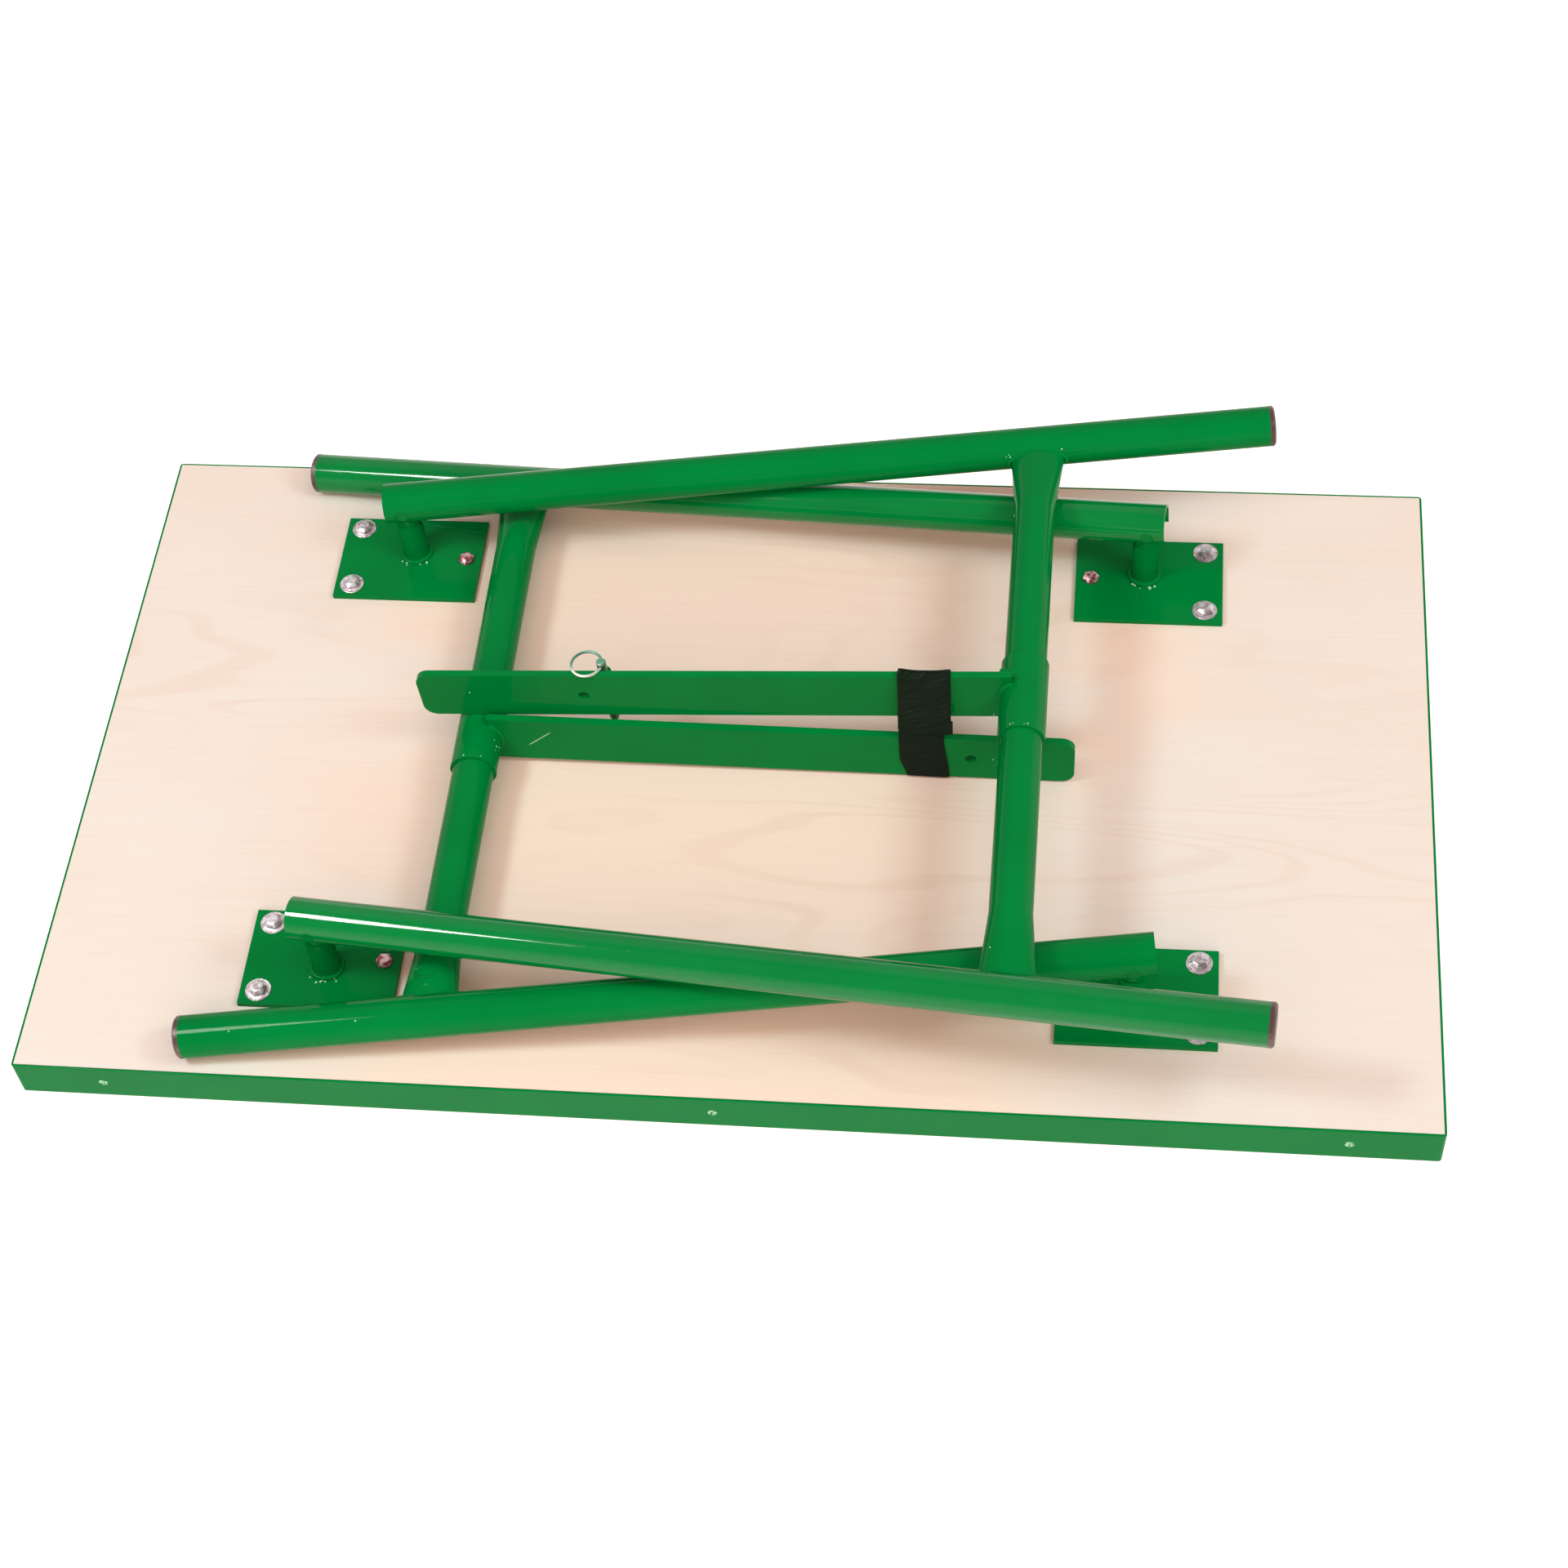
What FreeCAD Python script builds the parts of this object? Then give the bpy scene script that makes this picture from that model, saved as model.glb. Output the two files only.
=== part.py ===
"""Folding workbench, folded flat and lying on its work face.

X runs along the bench, Y from front to rear, Z up; the origin is under the middle of the work face.
Two tube leg frames fold onto the underside of the top, the upper one over the lower one.
Each frame carries a flat brace on its crossbar, and a ring pin locks the two braces together.
"""
import FreeCAD
import Part
import Sketcher
import math
import os

from FreeCAD import Placement, Rotation, Vector

doc = FreeCAD.newDocument("FoldingWorkbench")

# Driving dimensions in millimetres
SIZES = {
    # top
    "top_length": 1100,
    "top_depth": 630,
    "top_thick": 38,
    "edge_thick": 2,
    "edge_screw_pitch": 480,
    "side_screw_pitch": 400,
    "edge_screw_shank_r": 2,
    "edge_screw_head_r": 3.6,
    "edge_screw_crown_r": 2.2,
    "edge_screw_head_rise": 1.2,
    "edge_screw_length": 25,
    # hinge plates and their bolts
    "hinge_setback": 235,
    "hinge_inset": 101,
    "plate_length": 124,
    "plate_width": 88,
    "plate_thick": 5,
    "plate_offset": 4,
    "plate_set_in": 6.5,
    "large_bolt_setback": 15,
    "large_bolt_spacing": 63,
    "large_bolt_r": 5,
    "large_bolt_flats": 15,
    "large_bolt_head": 7.4,
    "washer_r": 10.4,
    "washer_thick": 2,
    "small_bolt_setback": 13,
    "small_bolt_r": 4,
    "small_bolt_flats": 13,
    "small_bolt_head": 5.3,
    "bolt_depth": 28,
    "hole_clearance": 0.1,
    # hinge stubs and pins
    "pivot_height": 71,
    "stub_r": 11,
    "stub_weld": 3,
    "neck_r": 10,
    "neck_drop": 22,
    "neck_rise": 10.5,
    "neck_chamfer": 4,
    "hinge_pin_r": 5,
    "running_clearance": 0.06,
    # leg tubes
    "tube_od": 33.7,
    "tube_wall": 2.6,
    "leg_tail": 16,
    "foot_setback": 131.6,
    "foot_inset": 22.5,
    "open_lean": 6.67,
    "slot_width": 25,
    "cap_rim": 4.5,
    "cap_round": 1.5,
    "cap_plug": 20,
    "cap_clearance": 0.1,
    "rest_gap": 0.5,
    # crossbars
    "bar_to_hinge": 92,
    "flare_length": 72,
    "flare_half_width": 24,
    "flare_half_thick": 8.5,
    "flare_bend": 0.45,
    "weld_gap": 0.05,
    # braces
    "sleeve_od": 38,
    "sleeve_length": 74,
    "brace_height": 50,
    "brace_thick": 6,
    "brace_round": 11,
    "brace_root": 8,
    "brace_hole_r": 4.5,
    "brace_end": 40,
    "upper_brace_overrun": 45.3,
    "upper_brace_y": 8.5,
    "upper_sleeve_y": 0,
    "lower_brace_overrun": 41.3,
    "lower_brace_y": -1,
    "lower_sleeve_y": -1,
    "lower_brace_lift": 1.15,
    "seat_gap": 0.3,
    # lock pin, its keeper and its ring
    "lock_pin_setback": 107.7,
    "hole_past_pin": 17,
    "lock_pin_r": 4,
    "lock_pin_rise": 5,
    "lock_pin_length": 76,
    "lock_pin_tip": 5,
    "lock_pin_point_r": 2,
    "lock_pin_bevel": 1,
    "keeper_r": 6.5,
    "keeper_length": 24,
    "keeper_drop": 8,
    "keeper_flat": 1,
    "ring_r": 12.5,
    "ring_wire_r": 1.1,
    "ring_eye_r": 2.2,
    # strap round both braces
    "strap_setback": 77.7,
    "strap_width": 40,
    "strap_thick": 1.5,
}

sheet = doc.addObject("Spreadsheet::Sheet", "Sizes")
for row, (alias, value) in enumerate(SIZES.items(), start=1):
    sheet.set(f"A{row}", alias)
    sheet.set(f"B{row}", str(value))
    sheet.setAlias(f"B{row}", alias)
doc.recompute()


class Size:
    """A size as a number, together with the sheet expression that gives the same number."""

    def __init__(self, value, text):
        self.value = value
        self.text = text

    def __add__(self, other):
        other = as_size(other)
        return Size(self.value + other.value, f"({self.text} + {other.text})")

    def __sub__(self, other):
        other = as_size(other)
        return Size(self.value - other.value, f"({self.text} - {other.text})")

    def __mul__(self, factor):
        return Size(self.value * factor, f"({self.text} * {factor})")

    def __truediv__(self, divisor):
        return Size(self.value / divisor, f"({self.text} / {divisor})")

    def __neg__(self):
        return self * -1


def as_size(number):
    """Take a plain number as a size."""
    return number if isinstance(number, Size) else Size(number, str(number))


def size(alias):
    """Read one driving dimension from the sheet."""
    return Size(float(sheet.get(alias)), f"Sizes.{alias}")


def turn(axis, degrees):
    """Rotation about one of the axes X, Y or Z."""
    return Rotation(Vector(axis == "X", axis == "Y", axis == "Z"), degrees)


def at(x=0.0, y=0.0, z=0.0, rotation=None):
    """Placement at a point, with an optional rotation."""
    return Placement(Vector(x, y, z), rotation or Rotation())


ALONG_X = turn("Y", 90)
ALONG_Y = turn("X", -90)
ZERO = Size(0.0, "0")

parts = []


def finish(made, label, placement=None):
    """Name a finished sub-part, put it in its place and keep it for writing."""
    made.Label = label
    if placement is not None:
        made.Placement = placement
    parts.append(made)
    return made


def primitive(kind, placement=None, **bound):
    """Add a Part primitive with its sizes bound to the sheet."""
    made = doc.addObject(f"Part::{kind}", kind)
    for prop, amount in bound.items():
        made.setExpression(prop, as_size(amount).text)
    if placement is not None:
        made.Placement = placement
    return made


def cylinder(radius, height, placement=None):
    return primitive("Cylinder", placement, Radius=radius, Height=height)


def through(radius, width, placement):
    """Round cutter along the Z axis of a placement, centred there and twice as long as the piece is wide."""
    return cylinder(radius, width * 2, placement.multiply(at(z=-width.value)))


def box(length, width, height, placement=None):
    return primitive("Box", placement, Length=length, Width=width, Height=height)


def fuse(*pieces):
    made = doc.addObject("Part::MultiFuse", "Fuse")
    made.Shapes = list(pieces)
    return made


def cut(base, *tools):
    made = doc.addObject("Part::Cut", "Cut")
    made.Base = base
    made.Tool = tools[0] if len(tools) == 1 else fuse(*tools)
    return made


def group(pieces):
    """Keep like pieces as separate solids of one sub-part."""
    made = doc.addObject("Part::Compound", "Group")
    made.Links = pieces
    return made


def new_body(name, plane_role):
    """Start a body with one sketch on one of its origin planes."""
    body = doc.addObject("PartDesign::Body", name)
    sketch = body.newObject("Sketcher::SketchObject", f"{name}_sketch")
    plane = next(feature for feature in body.Origin.OriginFeatures if feature.Role == plane_role)
    sketch.AttachmentSupport = [(plane, "")]
    sketch.MapMode = "FlatFace"
    return body, sketch


def bind(sketch, constraint, amount):
    """Add one dimension to a sketch and bind it to the sheet."""
    index = sketch.addConstraint(constraint)
    sketch.setExpression(f"Constraints[{index}]", amount.text)


def pin_point(sketch, edge, end, x, y):
    """Hold one end of a sketch edge at a point that is measured from the origin."""
    if x.value == 0:
        sketch.addConstraint(Sketcher.Constraint("PointOnObject", edge, end, -2))
    else:
        bind(sketch, Sketcher.Constraint("DistanceX", edge, end, x.value), x)
    if y.value == 0:
        sketch.addConstraint(Sketcher.Constraint("PointOnObject", edge, end, -1))
    else:
        bind(sketch, Sketcher.Constraint("DistanceY", edge, end, y.value), y)


def outline(sketch, corners):
    """Draw a closed outline through corners that are pairs of sizes."""
    corners = [(as_size(x), as_size(y)) for x, y in corners]
    edges = []
    for (x0, y0), (x1, y1) in zip(corners, corners[1:] + corners[:1]):
        line = Part.LineSegment(Vector(x0.value, y0.value, 0), Vector(x1.value, y1.value, 0))
        edges.append(sketch.addGeometry(line))
    for edge, following, (x, y) in zip(edges, edges[1:] + edges[:1], corners):
        sketch.addConstraint(Sketcher.Constraint("Coincident", edge, 2, following, 1))
        pin_point(sketch, edge, 1, x, y)


def circle(sketch, x, y, radius):
    """Draw a circle at a point with a radius, all three bound to the sheet."""
    x, y = as_size(x), as_size(y)
    round_edge = sketch.addGeometry(Part.Circle(Vector(x.value, y.value, 0), Vector(0, 0, 1), radius.value))
    pin_point(sketch, round_edge, 3, x, y)
    bind(sketch, Sketcher.Constraint("Radius", round_edge, radius.value), radius)


def pad(body, sketch, thickness):
    feature = body.newObject("PartDesign::Pad", f"{body.Name}_pad")
    feature.Profile = sketch
    feature.setExpression("Length", thickness.text)
    return body


def revolve(body, sketch):
    """Turn a profile of radius and height about the sketch's vertical axis."""
    feature = body.newObject("PartDesign::Revolution", f"{body.Name}_turn")
    feature.Profile = sketch
    feature.ReferenceAxis = (sketch, ["V_Axis"])
    feature.Angle = 360
    return body


# Sizes that several pieces share
top_thick = size("top_thick")
underside = top_thick.value
tube_r = size("tube_od") / 2
bore_r = tube_r - size("tube_wall")
sleeve_r = size("sleeve_od") / 2
half_span = size("top_length").value / 2 - size("hinge_setback").value
half_width = size("top_depth").value / 2 - size("hinge_inset").value
foot_y = size("top_depth").value / 2 - size("foot_inset").value
plate_y = half_width - size("plate_set_in").value
pivot_z = underside + size("pivot_height").value
clearance = size("hole_clearance")
frame_reach = size("top_length").value - size("hinge_setback").value - size("foot_setback").value
reach = math.hypot(frame_reach, foot_y - half_width)
splay = math.degrees(math.atan2(foot_y - half_width, frame_reach))
bar_reach = 2 * half_span - size("bar_to_hinge").value

# The lower frame lies with its feet on the top, and the upper crossbar lies on the lower legs
foot_drop = size("pivot_height").value - tube_r.value - size("rest_gap").value
lower_tilt = math.asin(foot_drop / frame_reach)
stack = 2 * tube_r.value + size("rest_gap").value
upper_tilt = lower_tilt + math.asin((stack - 2 * half_span * math.sin(lower_tilt)) / bar_reach)
UPPER = at(-half_span, 0, pivot_z, turn("Y", -math.degrees(upper_tilt)))
LOWER = at(half_span, 0, pivot_z, turn("Z", 180) * turn("Y", math.degrees(lower_tilt)))

# The crossbars lie side by side when folded, and the braces reach across both of them
upper_bar = UPPER.multVec(Vector(bar_reach, 0, 0))
lower_bar = LOWER.multVec(Vector(bar_reach, 0, 0))
brace_half = size("brace_height").value / 2
seat_gap = size("seat_gap").value
between = upper_bar - lower_bar
strap_reach = between.x - size("strap_setback").value

# The lock pin stands clear of the lower sleeve when folded, and the holes of the braces meet when open
open_spacing = 2 * (half_span + bar_reach * math.sin(math.radians(size("open_lean").value)))
pin_reach = between.x - size("lock_pin_setback").value
upper_hole = pin_reach + size("hole_past_pin").value
lower_hole = open_spacing - upper_hole
brace_end = size("brace_end").value
upper_reach = max(upper_hole + brace_end, between.x + size("upper_brace_overrun").value)
lower_reach = max(lower_hole + brace_end, between.x + size("lower_brace_overrun").value)

# The free end of the lower brace lies just above the top, and the upper brace lies on the lower sleeve
lower_fall = lower_bar.z - underside - brace_half - size("lower_brace_lift").value
lower_angle = math.asin(lower_fall / lower_reach)
seat = brace_half + sleeve_r.value + seat_gap
upper_angle = math.atan2(between.z, between.x) - math.asin(seat / math.hypot(between.x, between.z))
UPPER_BRACE = at(upper_bar.x, 0, upper_bar.z, turn("Z", 180) * turn("Y", math.degrees(upper_angle)))
LOWER_BRACE = at(lower_bar.x, 0, lower_bar.z, turn("Y", math.degrees(lower_angle)))

# Hinge places: side of the bench, and front or rear
HINGES = {
    "left_front": (-1, -1),
    "left_rear": (-1, 1),
    "right_front": (1, -1),
    "right_rear": (1, 1),
}


def hinge_place(side, y, height):
    """Placement on one side of the bench at the hinges, with local X pointing to that end of the bench."""
    return at(side * half_span, y, height, turn("Z", 0 if side > 0 else 180))


# Bolt places on a plate, measured from the hinge's upright axis towards the end of the bench
plate_out = size("plate_offset") + size("plate_length") / 2
plate_in = size("plate_offset") - size("plate_length") / 2
large_x = plate_out - size("large_bolt_setback")
large_y = size("large_bolt_spacing") / 2
small_x = plate_in + size("small_bolt_setback")


def bolt_places(spots, height):
    """Placements of the bolts of every plate, at a height."""
    return [
        hinge_place(side, row * plate_y, height).multiply(at(x.value, y.value))
        for side, row in HINGES.values()
        for x, y in spots
    ]


LARGE_SPOTS = [(large_x, large_y), (large_x, -large_y)]
SMALL_SPOTS = [(small_x, ZERO)]


def edge_screw_places():
    """Placements of the edge screws, each pointing out of its edge at half height."""
    mid = underside / 2
    end_x = size("top_length").value / 2
    end_y = size("top_depth").value / 2
    pitch = size("edge_screw_pitch").value
    side_y = size("side_screw_pitch").value / 2
    places = []
    for sign in (-1, 1):
        outward = turn("X", -90 * sign)
        places += [at(step * pitch, sign * end_y, mid, outward) for step in (-1, 0, 1)]
        outward = turn("Y", 90 * sign)
        places += [at(sign * end_x, step * side_y, mid, outward) for step in (-1, 1)]
    return places


def drill(radius, depth, places):
    """Round cutters that go down from each place and stand out of the face by the edge's thickness."""
    return [
        cylinder(radius, depth + size("edge_thick"), place.multiply(at(z=-depth.value)))
        for place in places
    ]


def make_top():
    """Plywood board with steel strips screwed round its edge."""
    length, depth, edge = size("top_length"), size("top_depth"), size("edge_thick")
    inner_length = length - edge * 2
    inner_depth = depth - edge * 2
    corner = at(-inner_length.value / 2, -inner_depth.value / 2)
    board = box(inner_length, inner_depth, top_thick, corner)
    shank = size("edge_screw_shank_r") + clearance
    bolt_depth = size("bolt_depth") + clearance
    holes = drill(size("large_bolt_r") + clearance, bolt_depth, bolt_places(LARGE_SPOTS, underside))
    holes += drill(size("small_bolt_r") + clearance, bolt_depth, bolt_places(SMALL_SPOTS, underside))
    holes += drill(shank, size("edge_screw_length") + clearance, edge_screw_places())
    finish(cut(board, *holes), "worktop_board")

    half_length, half_depth = length.value / 2, depth.value / 2
    strips = {
        "edge_strip_front": box(length, edge, top_thick, at(-half_length, -half_depth)),
        "edge_strip_rear": box(length, edge, top_thick, at(-half_length, half_depth - edge.value)),
        "edge_strip_left": box(edge, inner_depth, top_thick, at(-half_length, corner.Base.y)),
        "edge_strip_right": box(edge, inner_depth, top_thick, at(half_length - edge.value, corner.Base.y)),
    }
    for label, strip in strips.items():
        finish(cut(strip, *drill(shank, edge * 2, edge_screw_places())), label)


def make_edge_screws():
    """Low headed screws through the edge strips into the board."""
    screws = []
    for place in edge_screw_places():
        head = primitive("Cone", None, Radius1=size("edge_screw_head_r"), Radius2=size("edge_screw_crown_r"),
                         Height=size("edge_screw_head_rise"))
        length = size("edge_screw_length")
        shank = cylinder(size("edge_screw_shank_r"), length, at(z=-length.value))
        screw = fuse(head, shank)
        screw.Placement = place
        screws.append(screw)
    finish(group(screws), "edge_screws")


def make_hinge_plate(name, side, row):
    """Flat plate with two large bolt holes at its outer end and a small one at its inner end."""
    body, sketch = new_body(f"plate_{name}", "XY_Plane")
    half = size("plate_width") / 2
    outline(sketch, [(plate_in, -half), (plate_out, -half), (plate_out, half), (plate_in, half)])
    for x, y in LARGE_SPOTS:
        circle(sketch, x, y, size("large_bolt_r") + clearance)
    for x, y in SMALL_SPOTS:
        circle(sketch, x, y, size("small_bolt_r") + clearance)
    pad(body, sketch, size("plate_thick"))
    finish(body, f"hinge_plate_{name}", hinge_place(side, row * plate_y, underside))


def make_hinge_stub(name, side, row):
    """Round post welded on the plate, with a turned neck and a cross hole for the hinge pin."""
    body, sketch = new_body(f"stub_{name}", "XZ_Plane")
    stub_r, weld, neck_r = size("stub_r"), size("stub_weld"), size("neck_r")
    pivot = size("pivot_height") - size("plate_thick")
    shoulder = pivot - size("neck_drop")
    tip = pivot + size("neck_rise")
    bevel = size("neck_chamfer")
    outline(sketch, [
        (0.0, 0.0), (stub_r + weld, 0.0), (stub_r, weld), (stub_r, shoulder), (neck_r, shoulder),
        (neck_r, tip - bevel), (neck_r - bevel, tip), (0.0, tip),
    ])
    revolve(body, sketch)
    pin_hole_r = size("hinge_pin_r") + size("running_clearance")
    hole = through(pin_hole_r, stub_r * 2, at(0, 0, pivot.value, ALONG_Y))
    place = hinge_place(side, row * half_width, underside + size("plate_thick").value)
    finish(cut(body, hole), f"hinge_stub_{name}", place)


def hex_bolt(flats, head, shank_r, depth, place):
    """Hexagon head standing on its seat, with a shank that goes down from the seat."""
    corner_r = flats / (2 * math.cos(math.radians(30)))
    hexagon = primitive("Prism", None, Circumradius=corner_r, Height=head)
    hexagon.Polygon = 6
    shank = cylinder(shank_r, depth, at(z=-depth.value))
    bolt = fuse(hexagon, shank)
    bolt.Placement = place
    return bolt


def make_plate_bolts():
    """Bolts of all four plates: large ones on washers, small ones straight on the plate."""
    plate, washer = size("plate_thick"), size("washer_thick")
    seat_height = underside + plate.value
    large = [
        hex_bolt(size("large_bolt_flats"), size("large_bolt_head"), size("large_bolt_r"),
                 size("bolt_depth") + plate + washer, place)
        for place in bolt_places(LARGE_SPOTS, seat_height + washer.value)
    ]
    finish(group(large), "plate_bolts_large")
    small = [
        hex_bolt(size("small_bolt_flats"), size("small_bolt_head"), size("small_bolt_r"),
                 size("bolt_depth") + plate, place)
        for place in bolt_places(SMALL_SPOTS, seat_height)
    ]
    finish(group(small), "plate_bolts_small")
    washers = []
    for place in bolt_places(LARGE_SPOTS, seat_height):
        ring = cut(cylinder(size("washer_r"), washer), cylinder(size("large_bolt_r") + clearance, washer))
        ring.Placement = place
        washers.append(ring)
    finish(group(washers), "plate_washers")


def leg_place(frame, row):
    """Placement of a leg on its frame: local X runs from the hinge pin to the foot."""
    return frame.multiply(at(0, row * half_width, 0, turn("Z", row * splay)))


def make_leg(label, frame, row):
    """Round tube, open and slotted underneath at the hinge end so that it can swing over the neck."""
    tail, slot = size("leg_tail"), size("slot_width")
    length = as_size(reach) + tail - size("cap_rim")
    start = at(-tail.value, 0, 0, ALONG_X)
    low = -tube_r.value
    slot_run = box(tail, slot, tube_r, at(-tail.value, -slot.value / 2, low))
    slot_end = cylinder(slot / 2, tube_r, at(0, 0, low))
    across = at(rotation=turn("Z", -row * splay) * ALONG_Y)
    pin_hole = through(size("hinge_pin_r") + size("running_clearance"), size("tube_od"), across)
    tube = cut(cylinder(tube_r, length, start), cylinder(bore_r, length, start), slot_run, slot_end, pin_hole)
    finish(tube, label, leg_place(frame, row))


def make_hinge_pin(label, frame, row):
    """Plain pin across the leg and the neck, cut flush with the tube."""
    half = tube_r - clearance
    pin = cylinder(size("hinge_pin_r"), half * 2)
    place = frame.multiply(at(0, row * half_width - half.value, 0, ALONG_Y))
    finish(pin, label, place)


def make_foot_cap(label, frame, row):
    """Moulded plug in the foot end, with a rim that covers the wall of the tube."""
    body, sketch = new_body(label, "XZ_Plane")
    plug_r, rim, bevel = bore_r - size("cap_clearance"), size("cap_rim"), size("cap_round")
    plug = -size("cap_plug")
    outline(sketch, [
        (0.0, plug), (plug_r - bevel, plug), (plug_r, plug + bevel), (plug_r, 0.0), (tube_r, 0.0),
        (tube_r, rim - bevel), (tube_r - bevel, rim), (0.0, rim),
    ])
    revolve(body, sketch)
    seat_x = reach - rim.value
    finish(body, label, leg_place(frame, row).multiply(at(seat_x, 0, 0, ALONG_X)))


def make_crossbar(label, frame):
    """Round tube whose ends are pressed wide and flat and welded to the insides of the legs."""
    leg_y = half_width + bar_reach * math.tan(math.radians(splay))
    flare = size("flare_length").value
    round_y = leg_y - flare
    start = at(bar_reach, -round_y, 0, ALONG_Y)
    solids = [cylinder(tube_r, 2 * round_y, start)]
    cutters = [cylinder(bore_r, 2 * round_y, start)]
    for row in (-1, 1):
        sections = [primitive("Circle", at(bar_reach, row * round_y, 0, ALONG_Y), Radius=tube_r)]
        for along, share in ((flare / 2, size("flare_bend").value), (flare, 1.0)):
            wide = tube_r + (size("flare_half_width") - tube_r) * share
            flat = tube_r + (size("flare_half_thick") - tube_r) * share
            place = at(bar_reach, row * (round_y + along), 0, ALONG_Y)
            sections.append(primitive("Ellipse", place, MajorRadius=wide, MinorRadius=flat))
        loft = doc.addObject("Part::Loft", "Flare")
        loft.Sections = sections
        loft.Solid = True
        solids.append(loft)
        saddle = at(bar_reach, row * leg_y, 0, turn("Z", row * splay) * ALONG_X)
        cutters.append(through(tube_r + size("weld_gap"), size("flare_half_width") * 2, saddle))
    finish(cut(fuse(*solids), *cutters), label, frame)


def make_sleeve(label, brace, y):
    """Short tube that turns on the crossbar and carries the brace."""
    length = size("sleeve_length")
    outer = cylinder(sleeve_r, length)
    bore = cylinder(tube_r + size("running_clearance"), length)
    place = brace.multiply(at(0, y - length.value / 2, 0, ALONG_Y))
    finish(cut(outer, bore), label, place)


def make_brace_bar(label, brace, far, hole, y):
    """Flat bar on edge, hollowed at its root to fit the sleeve, with a rounded free end and a pin hole."""
    body, sketch = new_body(label, "XZ_Plane")
    far, half = as_size(far), size("brace_height") / 2
    curve, root = size("brace_round"), size("brace_root")
    hollow_r = sleeve_r + size("weld_gap")
    lip = math.sqrt(hollow_r.value ** 2 - root.value ** 2)
    corners = [
        (root, -half), (far - curve, -half), (far, curve - half), (far, half - curve),
        (far - curve, half), (root, half),
    ]
    points = [Vector(x.value, y_side.value, 0) for x, y_side in corners]
    low_edge, end_edge, high_edge = [
        sketch.addGeometry(Part.LineSegment(points[start], points[start + 1])) for start in (0, 2, 4)
    ]
    middle = Vector(points[1].x, points[2].y, 0)
    low_round = Part.Circle(middle, Vector(0, 0, 1), curve.value)
    high_round = Part.Circle(Vector(middle.x, points[3].y, 0), Vector(0, 0, 1), curve.value)
    low_corner = sketch.addGeometry(Part.ArcOfCircle(low_round, -math.pi / 2, 0))
    high_corner = sketch.addGeometry(Part.ArcOfCircle(high_round, 0, math.pi / 2))
    edges = [low_edge, low_corner, end_edge, high_corner, high_edge]
    upper_lip = sketch.addGeometry(Part.LineSegment(points[-1], Vector(root.value, lip, 0)))
    lip_angle = math.atan2(lip, root.value)
    full = Part.Circle(Vector(0, 0, 0), Vector(0, 0, 1), hollow_r.value)
    hollow = sketch.addGeometry(Part.ArcOfCircle(full, -lip_angle, lip_angle))
    lower_lip = sketch.addGeometry(Part.LineSegment(Vector(root.value, -lip, 0), points[0]))
    for edge, following in zip(edges, edges[1:] + [upper_lip]):
        sketch.addConstraint(Sketcher.Constraint("Coincident", edge, 2, following, 1))
    for edge, (x, y_side) in zip(edges + [upper_lip], corners):
        pin_point(sketch, edge, 1, x, y_side)
    sketch.addConstraint(Sketcher.Constraint("Coincident", upper_lip, 2, hollow, 2))
    sketch.addConstraint(Sketcher.Constraint("Coincident", hollow, 1, lower_lip, 1))
    sketch.addConstraint(Sketcher.Constraint("Coincident", lower_lip, 2, edges[0], 1))
    sketch.addConstraint(Sketcher.Constraint("Coincident", hollow, 3, -1, 1))
    for corner in (low_corner, high_corner):
        bind(sketch, Sketcher.Constraint("Radius", corner, curve.value), curve)
    sketch.addConstraint(Sketcher.Constraint("Vertical", upper_lip))
    sketch.addConstraint(Sketcher.Constraint("Vertical", lower_lip))
    bind(sketch, Sketcher.Constraint("Radius", hollow, hollow_r.value), hollow_r)
    circle(sketch, hole, 0.0, size("brace_hole_r"))
    thick = size("brace_thick")
    pad(body, sketch, thick)
    finish(body, label, brace.multiply(at(0, y + thick.value / 2, 0)))


# The upper brace is turned about, so that rear is its local minus Y
upper_y = -size("upper_brace_y").value
keeper_seat = upper_y - size("brace_thick").value / 2
keeper_y = keeper_seat - size("keeper_r").value + size("keeper_flat").value
pin_top = brace_half + size("lock_pin_rise").value
ring_z = brace_half + size("ring_wire_r").value + seat_gap


def make_pin_keeper():
    """Short upright tube on the rear face of the upper brace, filed flat where it is welded on."""
    radius, length = size("keeper_r"), size("keeper_length")
    low = -size("keeper_drop").value
    place = at(pin_reach, keeper_y, low)
    outer = cylinder(radius, length, place)
    bore = cylinder(size("lock_pin_r") + size("running_clearance"), length, place)
    beyond = box(radius * 2, radius * 2, length,
                 at(place.Base.x - radius.value, keeper_seat, low))
    finish(cut(outer, bore, beyond), "pin_keeper", UPPER_BRACE)


def make_lock_pin():
    """Steel pin with a tapered tip and a cross eye for its ring."""
    body, sketch = new_body("lock_pin_blank", "XZ_Plane")
    radius, length, bevel = size("lock_pin_r"), size("lock_pin_length"), size("lock_pin_bevel")
    outline(sketch, [
        (0.0, -length), (size("lock_pin_point_r"), -length), (radius, size("lock_pin_tip") - length),
        (radius, -bevel), (radius - bevel, 0.0), (0.0, 0.0),
    ])
    revolve(body, sketch)
    eye = through(size("ring_eye_r"), radius * 2, at(0, 0, ring_z - pin_top, ALONG_Y))
    place = UPPER_BRACE.multiply(at(pin_reach, keeper_y, pin_top))
    finish(cut(body, eye), "lock_pin", place)


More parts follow.
